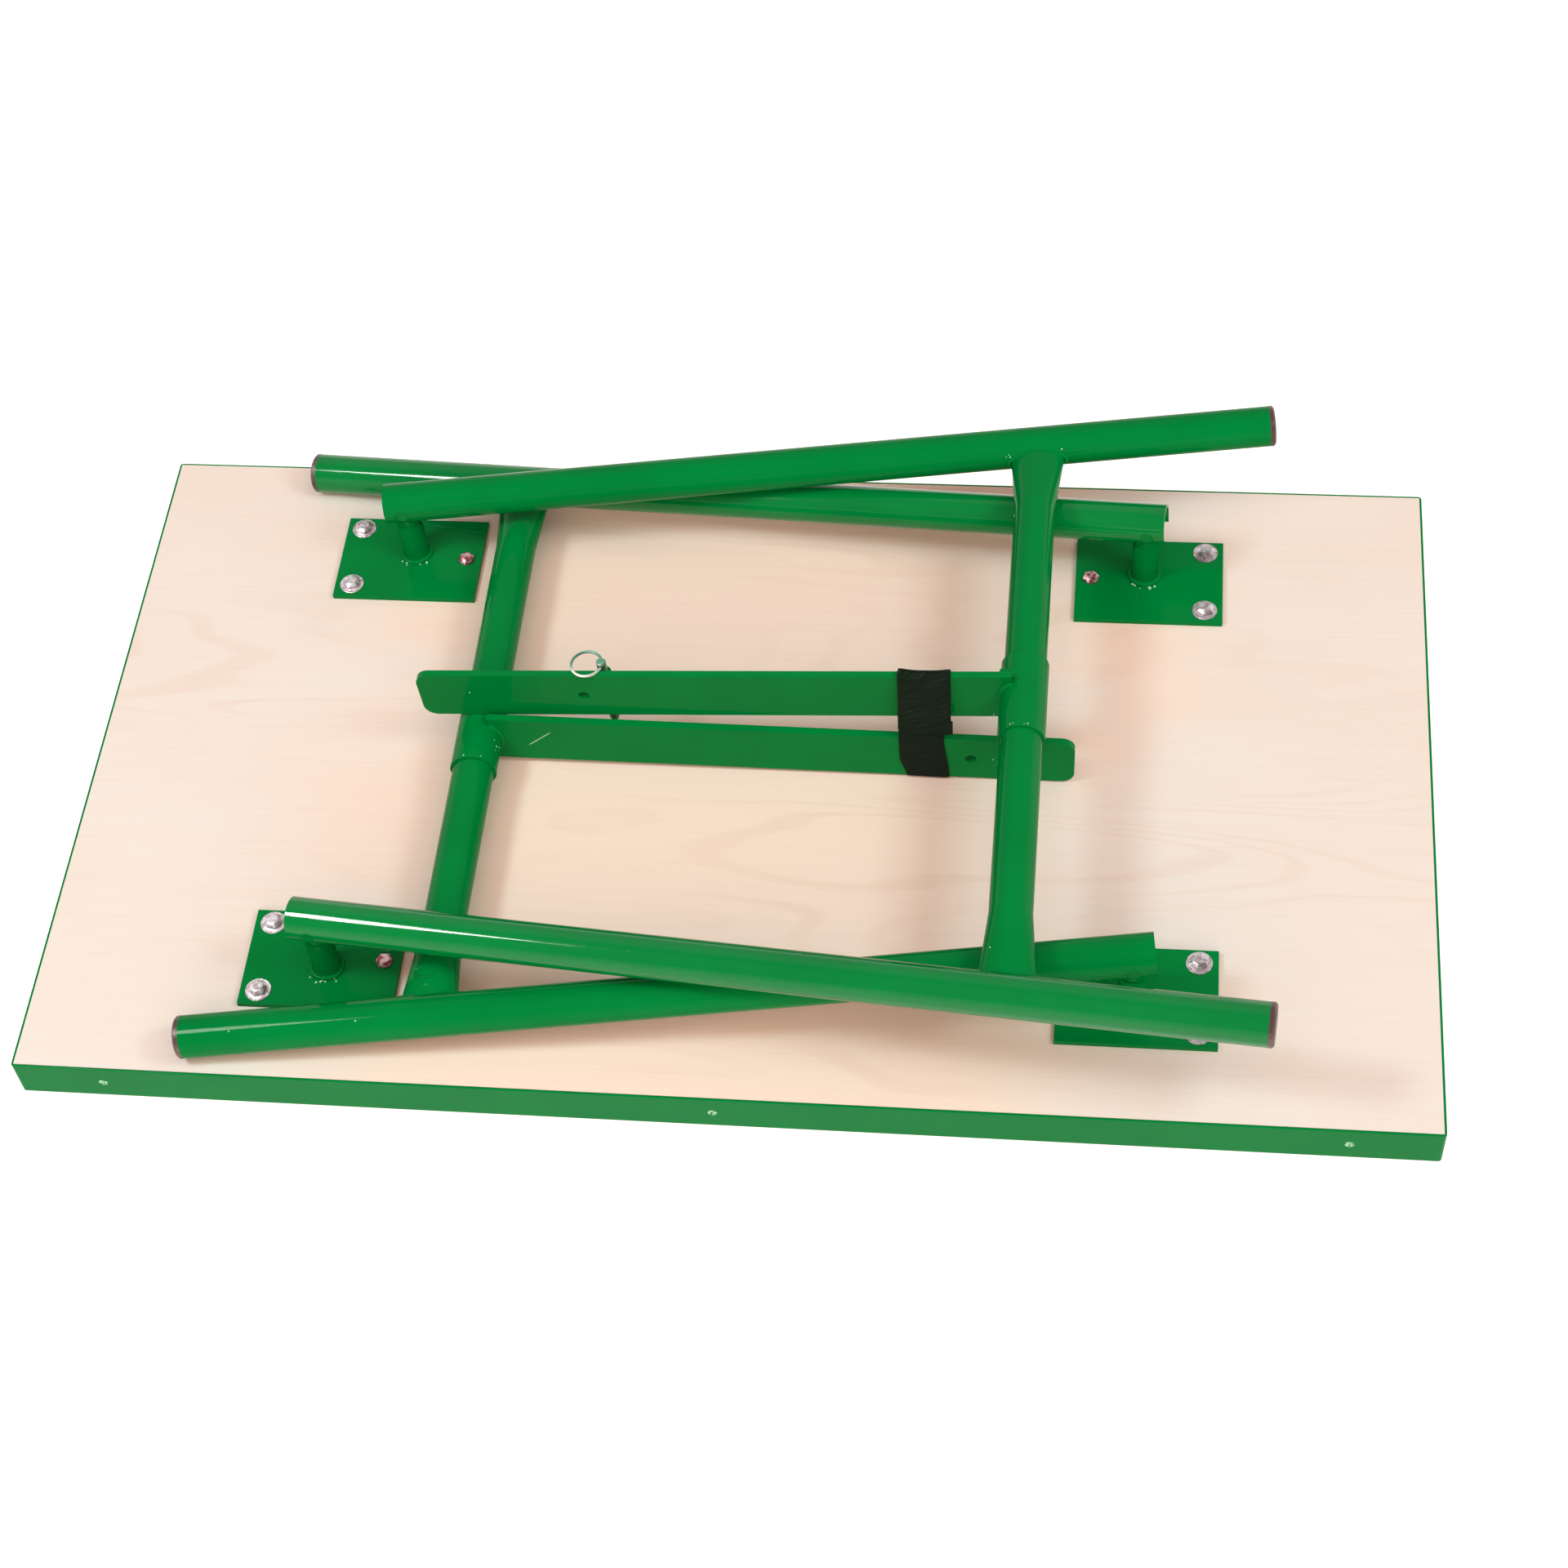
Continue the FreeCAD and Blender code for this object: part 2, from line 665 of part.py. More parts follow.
def make_pull_ring():
    """Wire ring through the eye of the lock pin, lying on the top edge of the upper brace."""
    ring = primitive("Torus", None, Radius1=size("ring_r"), Radius2=size("ring_wire_r"))
    sag = size("ring_r").value - math.sqrt(size("ring_r").value ** 2 - size("lock_pin_r").value ** 2)
    ring_x = pin_reach + size("ring_r").value - sag / 2
    finish(ring, "pull_ring", UPPER_BRACE.multiply(at(ring_x, keeper_y, ring_z)))


def make_strap():
    """Flat band drawn round both braces, as a closed loop that follows their outer corners."""
    width, thick = size("strap_width").value, size("strap_thick").value
    half = size("brace_thick").value / 2
    centre_x = LOWER_BRACE.multVec(Vector(strap_reach, 0, 0)).x
    ends = (centre_x - width / 2, centre_x + width / 2)
    upper_mid = [upper_bar.z - (upper_bar.x - x) * math.tan(upper_angle) for x in ends]
    lower_mid = [lower_bar.z - (x - lower_bar.x) * math.tan(lower_angle) for x in ends]
    tall = brace_half / math.cos(upper_angle)
    front_low, rear_low = size("lower_brace_y").value - half, size("lower_brace_y").value + half
    front_up, rear_up = size("upper_brace_y").value - half, size("upper_brace_y").value + half
    bottom, shoulder = min(lower_mid) - tall, max(lower_mid) + tall
    heel, crown = min(upper_mid) - tall, max(upper_mid) + tall
    loop = [
        Vector(0, front_low, bottom), Vector(0, rear_low, bottom), Vector(0, rear_up, heel),
        Vector(0, rear_up, crown), Vector(0, front_up, crown), Vector(0, front_low, shoulder),
    ]
    wire = Part.makePolygon(loop + loop[:1])
    inner = wire.makeOffset2D(seat_gap, 2)
    outer = wire.makeOffset2D(seat_gap + thick, 2)
    band = Part.Face(outer).cut(Part.Face(inner)).extrude(Vector(width, 0, 0))
    strap = doc.addObject("Part::Feature", "strap")
    strap.Shape = band
    finish(strap, "strap", at(ends[0], 0, 0))


make_top()
make_edge_screws()
make_plate_bolts()
for name, (side, row) in HINGES.items():
    make_hinge_plate(name, side, row)
    make_hinge_stub(name, side, row)
for frame_name, frame in (("upper", UPPER), ("lower", LOWER)):
    facing = 1 if frame is UPPER else -1
    for row_name, row in (("front", -facing), ("rear", facing)):
        make_leg(f"{frame_name}_leg_{row_name}", frame, row)
        make_hinge_pin(f"{frame_name}_hinge_pin_{row_name}", frame, row)
        make_foot_cap(f"{frame_name}_foot_cap_{row_name}", frame, row)
    make_crossbar(f"{frame_name}_crossbar", frame)
make_sleeve("upper_brace_sleeve", UPPER_BRACE, -size("upper_sleeve_y").value)
make_sleeve("lower_brace_sleeve", LOWER_BRACE, size("lower_sleeve_y").value)
make_brace_bar("upper_brace_bar", UPPER_BRACE, upper_reach, upper_hole, upper_y)
make_brace_bar("lower_brace_bar", LOWER_BRACE, lower_reach, lower_hole, size("lower_brace_y").value)
make_pin_keeper()
make_lock_pin()
make_pull_ring()
make_strap()
doc.recompute()

for made in doc.Objects:
    if "Invalid" in made.State or "Error" in made.State:
        raise RuntimeError(f"{made.Label} failed: {made.State}")
for made in parts:
    if made.Shape.isNull() or not made.Shape.isValid() or made.Shape.Volume <= 0:
        raise RuntimeError(f"{made.Label} has no valid solid")

os.makedirs("parts", exist_ok=True)
for made in parts:
    made.Shape.exportStep(os.path.join("parts", f"{made.Label}.step"))
    print(f"{made.Label}: {len(made.Shape.Solids)} solids, {made.Shape.Volume / 1000:.1f} cm3")
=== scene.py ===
"""Folding workbench, folded flat and lying on its work face, in a plain bright studio."""
import bmesh
import bpy
import math
import numpy as np
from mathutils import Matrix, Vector


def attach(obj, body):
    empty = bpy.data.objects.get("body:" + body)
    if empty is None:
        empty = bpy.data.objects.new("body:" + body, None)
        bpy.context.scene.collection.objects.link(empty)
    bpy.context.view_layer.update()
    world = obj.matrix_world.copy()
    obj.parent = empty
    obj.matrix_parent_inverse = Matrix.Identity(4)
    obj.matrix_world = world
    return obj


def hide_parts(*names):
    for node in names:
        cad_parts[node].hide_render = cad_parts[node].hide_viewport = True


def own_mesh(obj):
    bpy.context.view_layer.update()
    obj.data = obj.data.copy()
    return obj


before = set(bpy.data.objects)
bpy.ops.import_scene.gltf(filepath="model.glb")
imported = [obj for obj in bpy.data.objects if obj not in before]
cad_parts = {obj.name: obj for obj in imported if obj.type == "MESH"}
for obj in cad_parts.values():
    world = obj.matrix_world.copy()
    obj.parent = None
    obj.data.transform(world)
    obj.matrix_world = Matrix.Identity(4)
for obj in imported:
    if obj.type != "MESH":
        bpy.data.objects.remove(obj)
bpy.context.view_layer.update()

# The view
# A camera stands in front of the bench, well above it, and looks down at its folded legs.
camera_data = bpy.data.cameras.new("camera")
camera_data.sensor_width = 36.0
camera_data.lens = 68.742
camera = bpy.data.objects.new("camera", camera_data)
camera.location = (0.28976, -1.44104, 2.00504)
camera.rotation_euler = [math.radians(angle) for angle in (36.2066, 3.6940, 5.3721)]
bpy.context.scene.collection.objects.link(camera)
bpy.context.scene.camera = camera


# Worktop board
# A 38 mm birch plywood board, sanded and clear oiled, with the grain of its face veneer along the bench.
# The veneer is peeled from the log, so its year rings show as long faint flames. The middle of the face, between the
# leg frames, is painted pinker: painted warm bounce light and shade.
class Finish:
    """A procedural material: its Principled shader, and short calls that add nodes to it."""

    def __init__(self, name):
        self.material = bpy.data.materials.new(name)
        self.material.use_nodes = True
        self.tree = self.material.node_tree
        self.shader = self.tree.nodes["Principled BSDF"]
        self.place = self.node("ShaderNodeTexCoord", {}, output="Object")

    def join(self, value, socket):
        """Link a socket to another, or set a plain value on it."""
        if isinstance(value, bpy.types.NodeSocket):
            self.tree.links.new(value, socket)
        else:
            socket.default_value = value

    def node(self, kind, inputs, output=0, **settings):
        """Add one node, fill its inputs by name or number, and give back one of its outputs."""
        made = self.tree.nodes.new(kind)
        for setting, value in settings.items():
            setattr(made, setting, value)
        for socket, value in inputs.items():
            self.join(value, made.inputs[socket])
        return made.outputs[output]

    def stretched(self, scale, offset=(0.0, 0.0, 0.0)):
        """Object coordinates, scaled along each axis and moved."""
        return self.node("ShaderNodeMapping", {"Vector": self.place, "Location": offset, "Scale": scale})

    def local(self, centre, turn=(0.0, 0.0, 0.0), scale=(1.0, 1.0, 1.0)):
        """Coordinates measured from a centre, along axes that are turned, in units of a scale."""
        inputs = {"Vector": self.place, "Location": centre, "Rotation": turn, "Scale": scale}
        return self.node("ShaderNodeMapping", inputs, vector_type="TEXTURE")

    def part(self, vector, axis):
        """One coordinate of a vector."""
        return self.node("ShaderNodeSeparateXYZ", {0: vector}, output=axis)

    def length(self, vector):
        """The length of a vector."""
        return self.node("ShaderNodeVectorMath", {0: vector}, output="Value", operation="LENGTH")

    def noise(self, vector, scale, detail=3.0, roughness=0.5, distortion=0.0):
        """Cloudy noise from 0 to 1: detail is how many finer layers it has, roughness how strong they are."""
        return self.node("ShaderNodeTexNoise", {"Vector": vector, "Scale": scale, "Detail": detail,
                                                "Roughness": roughness, "Distortion": distortion}, output="Fac")

    def sums(self, operation, first, second=0.0, clamp=False):
        """One step of arithmetic on two numbers."""
        return self.node("ShaderNodeMath", {0: first, 1: second}, operation=operation, use_clamp=clamp)

    def times(self, first, second):
        """Two numbers multiplied."""
        return self.sums("MULTIPLY", first, second)

    def band(self, value, low, high, start=0.0, end=1.0):
        """A value carried smoothly from one range to another and held at its ends."""
        return self.node("ShaderNodeMapRange", {"Value": value, "From Min": low, "From Max": high,
                                                "To Min": start, "To Max": end}, interpolation_type="SMOOTHSTEP")

    def mix(self, share, first, second):
        """Two colours mixed by a share."""
        return self.node("ShaderNodeMix", {0: share, 6: first, 7: second}, output=2, data_type="RGBA")

    def bump(self, height, strength, distance, below=None):
        """A bumped normal, on top of another if one is given."""
        inputs = {"Height": height, "Strength": strength, "Distance": distance}
        if below is not None:
            inputs["Normal"] = below
        return self.node("ShaderNodeBump", inputs)

    def set(self, **sockets):
        """Fill sockets of the shader, named with underscores for spaces."""
        for name, value in sockets.items():
            self.join(value, self.shader.inputs[name.replace("_", " ")])


fine_relief = 0.0002


def birch_face():
    """Birch face veneer.

    Flames are a sine of a noise that is stretched along the grain, fibre and pores are finer stretched noises, and
    specks are the middles of a few wide cells. A soft ring mark is a narrow band of distance from one point. The
    middle of the face is mixed pinker as painted warm bounce light between the leg frames.
    """
    finish = Finish("birch_face")
    times = finish.times
    early = (0.835, 0.715, 0.655, 1.0)
    painted_warm_shade = (0.940, 0.695, 0.597, 1.0)
    pale = (0.840, 0.755, 0.725, 1.0)
    late = (0.770, 0.525, 0.415, 1.0)
    speck = (0.250, 0.150, 0.100, 1.0)
    pale_share, painted_warm_share, flame_share, fibre_share = 0.55, 0.85, 0.26, 0.16
    pore_share, ring_share, speck_share = 0.16, 0.22, 0.55
    warm_middle_edge, warm_middle_core, warm_middle_waver = 0.46, 0.24, 0.10
    flame_rings = 105.0
    ring_centre = (-0.5035, -0.2662, 0.038)
    along = finish.sums("ABSOLUTE", finish.part(finish.place, "X"))
    cloud = finish.band(finish.noise(finish.stretched((1.0, 2.2, 1.0)), 4.2, 3.0), 0.36, 0.66)
    # Painted warm shade: a band round the middle of the board, wandering with the clouds, mixes the colour towards a
    # pinker one.
    painted_warm_middle = finish.band(finish.sums("ADD", along, times(cloud, warm_middle_waver)), warm_middle_edge, warm_middle_core)
    log = finish.noise(finish.stretched((0.9, 5.2, 1.0), (3.1, 1.7, 0.0)), 1.6, 2.0, 0.45, 0.35)
    flame = finish.band(finish.sums("SINE", times(log, flame_rings)), 0.30, 1.0)
    patch = finish.band(finish.noise(finish.stretched((0.7, 2.4, 1.0)), 2.6, 3.0), 0.45, 0.68)
    fibre = finish.noise(finish.stretched((9.0, 520.0, 60.0)), 1.0, 4.0, 0.65)
    pores = finish.band(finish.noise(finish.stretched((55.0, 900.0, 60.0)), 1.0, 2.0, 0.5), 0.66, 0.78)
    colour = finish.mix(times(cloud, pale_share), early, pale)
    colour = finish.mix(times(painted_warm_middle, painted_warm_share), colour, painted_warm_shade)
    colour = finish.mix(times(times(flame, patch), flame_share), colour, late)
    colour = finish.mix(times(finish.band(fibre, 0.42, 0.75), fibre_share), colour, late)
    colour = finish.mix(times(pores, pore_share), colour, late)
    ring = finish.length(finish.local(ring_centre))
    ring = times(finish.band(ring, 0.0225, 0.0245), finish.band(ring, 0.0275, 0.0255))
    colour = finish.mix(times(times(ring, cloud), ring_share), colour, late)
    cells = {"Vector": finish.stretched((0.55, 1.3, 1.0)), "Scale": 6.5}
    flecks = finish.node("ShaderNodeTexVoronoi", cells, output="Distance")
    colour = finish.mix(times(finish.band(flecks, 0.016, 0.008), speck_share), colour, speck)
    finish.set(Base_Color=colour, Roughness=finish.band(fibre, 0.3, 0.8, 0.50, 0.62), Specular_IOR_Level=0.25)
    height = finish.sums("SUBTRACT", times(fibre, 0.5), pores)
    finish.set(Normal=finish.bump(height, 0.18, fine_relief))
    return finish.material


def dress(material, *names):
    """Give CAD nodes a material."""
    for name in names:
        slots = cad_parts[name].data.materials
        slots.clear()
        slots.append(material)


dress(birch_face(), "worktop_board")


# Edge strips
# Steel strip 2 mm thick and as high as the board, bent round its corners and flush with both faces.
# It is sprayed with gloss green enamel before it is screwed on.
def green_enamel(name="green_enamel", mark=None, shine=0.05):
    """Gloss enamel on steel: faint clouds of colour, slight orange peel and a few dust nibs in the coat.

    mark, if given, is called with the finish and gives a share of the surface painted a paler green: a scraped layer
    for the scratch, and painted highlights on spatter and screw heads.
    shine is the level of the shader's gloss, higher where a tube was smooth under its paint.
    """
    finish = Finish(name)
    deep = (0.0, 0.188, 0.036, 1.0)
    bright = (0.0, 0.208, 0.041, 1.0)
    scraped_and_glint = (0.42, 0.72, 0.50, 1.0)
    scraped_and_glint_dull = 0.35
    cloud_scale, gloss_scale, peel_scale, nib_scale = 14.0, 60.0, 420.0, 700.0
    colour = finish.mix(finish.band(finish.noise(finish.place, cloud_scale, 3.0), 0.3, 0.7), deep, bright)
    gloss = finish.band(finish.noise(finish.place, gloss_scale, 4.0), 0.3, 0.75, 0.06, 0.11)
    if mark:
        share = mark(finish)
        colour = finish.mix(share, colour, scraped_and_glint)
        gloss = finish.sums("ADD", gloss, finish.times(share, scraped_and_glint_dull))
    finish.set(Base_Color=colour, Roughness=gloss, Specular_IOR_Level=shine)
    peel = finish.bump(finish.noise(finish.place, peel_scale, 2.0, 0.5), 0.05, fine_relief)
    nibs = finish.band(finish.noise(finish.place, nib_scale, 1.0), 0.74, 0.80)
    finish.set(Normal=finish.bump(nibs, 0.15, fine_relief, peel))
    return finish.material


def looped(grid):
    """A grid with its first row drawn again at the end, so that the rows close into a loop."""
    return np.concatenate([grid, grid[:1]])


def shell(name, grids, material, body, replaced=(), crease=35.0, flats=False):
    """A piece joined from grids of points, each with rows by columns.

    The points of a row close into a ring, and faces join each ring to the next. Points that fall together are
    merged, so a ring drawn at one point closes an end. Faces then turn outwards, and edges sharper than the crease
    stay sharp.
    """
    points, faces, start = [], [], 0
    for grid in grids:
        rows, columns = grid.shape[:2]
        index = start + np.arange(rows * columns).reshape(rows, columns)
        after = np.roll(index, -1, axis=1)
        faces.append(np.stack([index[:-1], after[:-1], after[1:], index[1:]], axis=-1).reshape(-1, 4))
        points.append(grid.reshape(-1, 3))
        start += rows * columns
    mesh = bpy.data.meshes.new(name)
    mesh.from_pydata(np.concatenate(points).tolist(), [], np.concatenate(faces).tolist())
    work = bmesh.new()
    work.from_mesh(mesh)
    bmesh.ops.remove_doubles(work, verts=work.verts, dist=1e-7)
    bmesh.ops.recalc_face_normals(work, faces=work.faces)
    work.to_mesh(mesh)
    work.free()
    mesh.shade_smooth()
    mesh.set_sharp_from_angle(angle=math.radians(crease))
    mesh.materials.append(material)
    piece = bpy.data.objects.new(name, mesh)
    bpy.context.scene.collection.objects.link(piece)
    if flats:
        piece.modifiers.new("flat_faces", "WEIGHTED_NORMAL").keep_sharp = True
    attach(piece, body)
    if replaced:
        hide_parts(*replaced)
    return piece


def rounded(width, height, radius, steps=4):
    """Points round a rectangle with quarter circle corners, and the outward direction at each of them."""
    quarter = np.linspace(0.0, 0.5 * np.pi, steps + 1)
    angle = (quarter + 0.5 * np.pi * np.arange(4)[:, None]).ravel()
    outward = np.stack([np.cos(angle), np.sin(angle)], axis=-1)
    corner = np.repeat([[1, 1], [-1, 1], [-1, -1], [1, -1]], steps + 1, axis=0)
    return corner * (np.array([width, height]) / 2 - radius) + radius * outward, outward


enamel = green_enamel()
top_long, top_deep = 1.100, 0.630
strip_thick, strip_height = 0.002, 0.038
bend_r, filed_r = 0.0018, 0.0007
strip_line, strip_out = rounded(top_long - strip_thick, top_deep - strip_thick, bend_r, 5)
strip_path = np.column_stack([strip_line, np.full(len(strip_line), strip_height / 2)])
strip_out = np.column_stack([strip_out, np.zeros(len(strip_line))])
strip_across, strip_up = np.split(rounded(strip_thick, strip_height, filed_r)[0], 2, axis=1)
strip_grid = strip_path[:, None] + strip_across * strip_out[:, None] + strip_up * np.array([0.0, 0.0, 1.0])
shell("edge_band", [looped(strip_grid)], enamel, "top",
      [f"edge_strip_{side}" for side in ("front", "rear", "left", "right")], flats=True)


# Edge screws
# Low domed wood screws with a cross recess, driven through the strips into the board.
# Their paint is thin and mixed paler in patches over the heads: partly rubbed paint, partly a painted highlight.
def ringed(radius, height):
    """Rings round the z axis from arrays of radius and height, rows by columns."""
    radius, height = np.broadcast_arrays(radius, height)
    angle = np.linspace(0.0, 2.0 * np.pi, radius.shape[1], endpoint=False)
    return np.stack([radius * np.cos(angle), radius * np.sin(angle), height], axis=-1)


def turned(profile, count):
    """A shape turned on a lathe: a ring of count points for each (radius, height) of the profile."""
    radius, height = np.array(profile).T[..., None]
    return ringed(radius * np.ones(count), height)


def planted(grid, place, outward, turn=0.0):
    """A grid drawn round the z axis, turned about it, then carried to a place with z pointing outward."""
    up = np.asarray(outward, float) / np.linalg.norm(outward)
    side = np.cross((0.3, 0.5, 0.8), up)
    side /= np.linalg.norm(side)
    right = side * math.cos(turn) + np.cross(up, side) * math.sin(turn)
    return np.asarray(place) + grid[..., :1] * right + grid[..., 1:2] * np.cross(up, right) + grid[..., 2:] * up


def edge_screw():
    """A parabolic dome on a shank, with two crossed slots sunk into it where both coordinates are within the arms."""
    head_r, rise, shank_r, length = 0.0036, 0.0012, 0.002, 0.025
    arm_long, arm_half, sunk, blur = 0.0019, 0.0004, 0.0008, 0.0002
    columns = 48
    share = np.linspace(1.0, 0.0, 16)[:, None] * np.ones(columns)
    dome = ringed(head_r * share, rise * (1.0 - share ** 2))
    within = lambda value, limit: np.clip((limit - np.abs(value)) / blur + 0.5, 0.0, 1.0)
    x, y = dome[..., 0], dome[..., 1]
    arms = np.maximum(within(x, arm_long) * within(y, arm_half), within(y, arm_long) * within(x, arm_half))
    dome[..., 2] -= sunk * arms
    shank = turned([(0.0, -length), (shank_r, -length), (shank_r, 0.0), (head_r, 0.0)], columns)
    return np.concatenate([shank, dome])


def pale_patches(scale, detail, low, high):
    """A mark for the enamel: a paler green in patches, where a noise rises from a low to a high level; it paints
    highlights on spatter and, in part, on screw heads.
    """
    return lambda finish: finish.band(finish.noise(finish.place, scale, detail), low, high)


screw_pitch, side_screw_y, screw_z, screw_turn = 0.48, 0.2, strip_height / 2, 0.7
screw_places = [((x, side * top_deep / 2, screw_z), (0, side, 0))
                for side in (-1, 1) for x in (-screw_pitch, 0.0, screw_pitch)]
screw_places += [((side * top_long / 2, y, screw_z), (side, 0, 0))
                 for side in (-1, 1) for y in (-side_screw_y, side_screw_y)]
# Painted highlight, in part: pale patches on the screw heads stand in for the light they catch.
rubbed_highlight_enamel = green_enamel("rubbed_highlight_enamel", pale_patches(520.0, 2.0, 0.38, 0.52))
screws = [planted(edge_screw(), place, out, screw_turn * count) for count, (place, out) in enumerate(screw_places)]
shell("screw_heads", screws, rubbed_highlight_enamel, "top", ["edge_screws"])


# Hinge plates
# Four sheared pieces of 5 mm flat steel, one at each hinge, painted with their stubs already welded on.
def soften(width, *names):
    """Round the sharp edges of CAD nodes a little, as filing and paint do. Flat faces are first made whole."""
    flat_angle, sharp_angle = math.radians(1.0), math.radians(35)
    for name in names:
        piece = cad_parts[name]
        piece.modifiers.new("weld", "WELD").merge_threshold = 1e-6
        whole = piece.modifiers.new("whole_faces", "DECIMATE")
        whole.decimate_type = "DISSOLVE"
        whole.angle_limit = flat_angle
        bevel = piece.modifiers.new("bevel", "BEVEL")
        bevel.width = width
        bevel.segments = 2
        bevel.limit_method = "ANGLE"
        bevel.angle_limit = sharp_angle
        piece.modifiers.new("flat_faces", "WEIGHTED_NORMAL").keep_sharp = True


corners = [(f"{side}_{end}", sx, sy)
           for side, sx in (("left", -1), ("right", 1)) for end, sy in (("front", -1), ("rear", 1))]
plates = [f"hinge_plate_{corner}" for corner, _, _ in corners]
dress(enamel, *plates)
soften(0.0005, *plates)


# Hinge stubs
# A round steel post on each plate, turned down to a neck at its top, where the slotted leg straddles it.
# A rippled fillet weld runs round its foot, with a few drops of spatter frozen beside it, painted in pale patches as
# painted glints.
def bead(path, away, radius, ripples, seed, closed=True):
    """A weld bead: a round section carried along a path, swelling at each ripple and wandering a little.

    away is the direction out of the work at each point of the path. An open bead tapers to a point at both ends.
    """
    least, ripple_rise, wander_rise, wander_aside, taper = 0.92, 0.16, 0.08, 0.12, 12.0
    waves, columns = 4, 12
    along = np.roll(path, -1, axis=0) - np.roll(path, 1, axis=0) if closed else np.gradient(path, axis=0)
    along /= np.linalg.norm(along, axis=1, keepdims=True)
    away = away - along * np.sum(away * along, axis=1, keepdims=True)
    away /= np.linalg.norm(away, axis=1, keepdims=True)
    aside = np.cross(along, away)
    step = np.linspace(0.0, 1.0, len(path), endpoint=not closed)
    phase = np.random.default_rng(seed).uniform(0.0, 2.0 * np.pi, waves)
    wander = sum(np.sin(2.0 * np.pi * (k + 2) * step + phase[k]) for k in range(waves)) / waves
    swell = radius * (least + ripple_rise * np.abs(np.sin(np.pi * ripples * step)) + wander_rise * wander)
    if not closed:
        swell = swell * np.sqrt(np.clip(taper * step * (1.0 - step), 0.0, 1.0))
    angle = np.linspace(0.0, 2.0 * np.pi, columns, endpoint=False)[:, None]
    section = np.cos(angle) * away[:, None] + np.sin(angle) * aside[:, None]
    grid = (path + wander_aside * radius * wander[:, None] * aside)[:, None] + swell[:, None, None] * section
    return looped(grid) if closed else grid


def spatter(spots):
    """Low round drops, half sunk in the surface: each is (place, direction out of the surface, radius)."""
    flatness = 0.75
    tilt = np.linspace(-0.5 * np.pi, 0.5 * np.pi, 6)[:, None] * np.ones(10)
    drop = ringed(np.cos(tilt), flatness * np.sin(tilt))
    return [planted(radius * drop, place, out) for place, out, radius in spots]


upward = (0, 0, 1)
hinge_x, hinge_y, plate_top = 0.315, 0.214, 0.043
fillet_r, stub_fillet_r, stub_fillet_z, drop_z = 0.0017, 0.0124, 0.0444, 0.0434
dress(enamel, *[f"hinge_stub_{corner}" for corner, _, _ in corners])
round_stub = np.linspace(0.0, 2.0 * np.pi, 228, endpoint=False)
stub_out = np.stack([np.cos(round_stub), np.sin(round_stub), np.ones(228)], axis=-1)
stub_foot = stub_out * (stub_fillet_r, stub_fillet_r, stub_fillet_z)
stub_beads = [bead(stub_foot + (sx * hinge_x, sy * hinge_y, 0.0), stub_out, fillet_r, ripples=38, seed=11 + k)
              for k, (_, sx, sy) in enumerate(corners)]
shell("stub_welds", stub_beads, enamel, "top", crease=60.0)
drops = np.random.default_rng(5)
stub_spots = []
for _, sx, sy in corners:
    for direction in drops.uniform(-2.5, -0.6, 7):
        gone = drops.uniform(0.0138, 0.0168)
        landed = (sx * hinge_x + gone * math.cos(direction), sy * hinge_y + gone * math.sin(direction), drop_z)
        stub_spots.append((landed, upward, drops.uniform(0.0006, 0.0011)))
# Painted glints: every spatter drop on the bench uses this paler green in patches.
painted_glint_enamel = green_enamel("painted_glint_enamel", pale_patches(300.0, 1.0, 0.30, 0.45))
shell("stub_spatter", spatter(stub_spots), painted_glint_enamel, "top")


# Plate bolts
# Two large hexagon bolts on conical flange washers and one small bolt hold each plate to the board.
# They are zinc plated steel with low blunt heads, each stopped at its own angle. The small ones are painted red as a
# painted reflection, and the large ones are tinted pink with mauve dull patches, partly painted reflection.
def bright_zinc(name, tint, dull, mark=None):
    """Zinc plate: bright metal with a fine grain, dull patches and slightly uneven gloss.

    mark, if given, is called with the finish and gives the share that is dull instead of the patches.
    """
    finish = Finish(name)
    patch_scale, gloss_scale, grain_scale = 260.0, 420.0, 900.0
    share = mark(finish) if mark else finish.band(finish.noise(finish.place, patch_scale, 4.0, 0.6), 0.44, 0.58)
    finish.set(Base_Color=finish.mix(share, tint, dull), Metallic=1.0)
    finish.set(Roughness=finish.band(finish.noise(finish.place, gloss_scale, 4.0), 0.3, 0.75, 0.40, 0.58))
    finish.set(Normal=finish.bump(finish.noise(finish.place, grain_scale, 2.0), 0.15, fine_relief))
    return finish.material


def hexagon_bolt(flats, head, shank_r, depth):
    """A low hexagon head on a shank.

    The sides are a hexagon with blunt corners. Over them the outline turns round towards the middle, and the height
    rises with the square of the distance from the rim to a flat crown.
    """
    blunt, crown, foot_draw = 0.56, 0.49, 0.985
    columns, side_top, crown_rise = 72, 0.50, 1.7
    angle = np.linspace(0.0, 2.0 * np.pi, columns, endpoint=False)
    corner = angle - np.pi / 3.0 * np.round(angle / (np.pi / 3.0))
    hexagon = np.minimum(0.5 * flats / np.cos(corner), blunt * flats)
    rise = np.array([0.0, 0.06, side_top])[:, None]
    sides = ringed(hexagon * np.where(rise == 0.0, foot_draw, 1.0), head * rise)
    share = np.linspace(1.0, 0.0, 13)[1:, None]
    round_r = share * (share ** 2 * hexagon + (1.0 - share ** 2) * crown * flats)
    crown_height = side_top + (1.0 - side_top) * np.minimum(1.0, crown_rise * (1.0 - share ** 2))
    shank = turned([(0.0, -depth), (shank_r, -depth), (shank_r, 0.0)], columns)
    return np.concatenate([shank, sides, ringed(round_r, head * crown_height)])


# Partly painted reflection: the pink tint and mauve dull patches of the large bolts stand in for reddish reflections.
zinc = bright_zinc("bright_zinc", (0.80, 0.75, 0.77, 1.0), (0.50, 0.40, 0.43, 1.0))
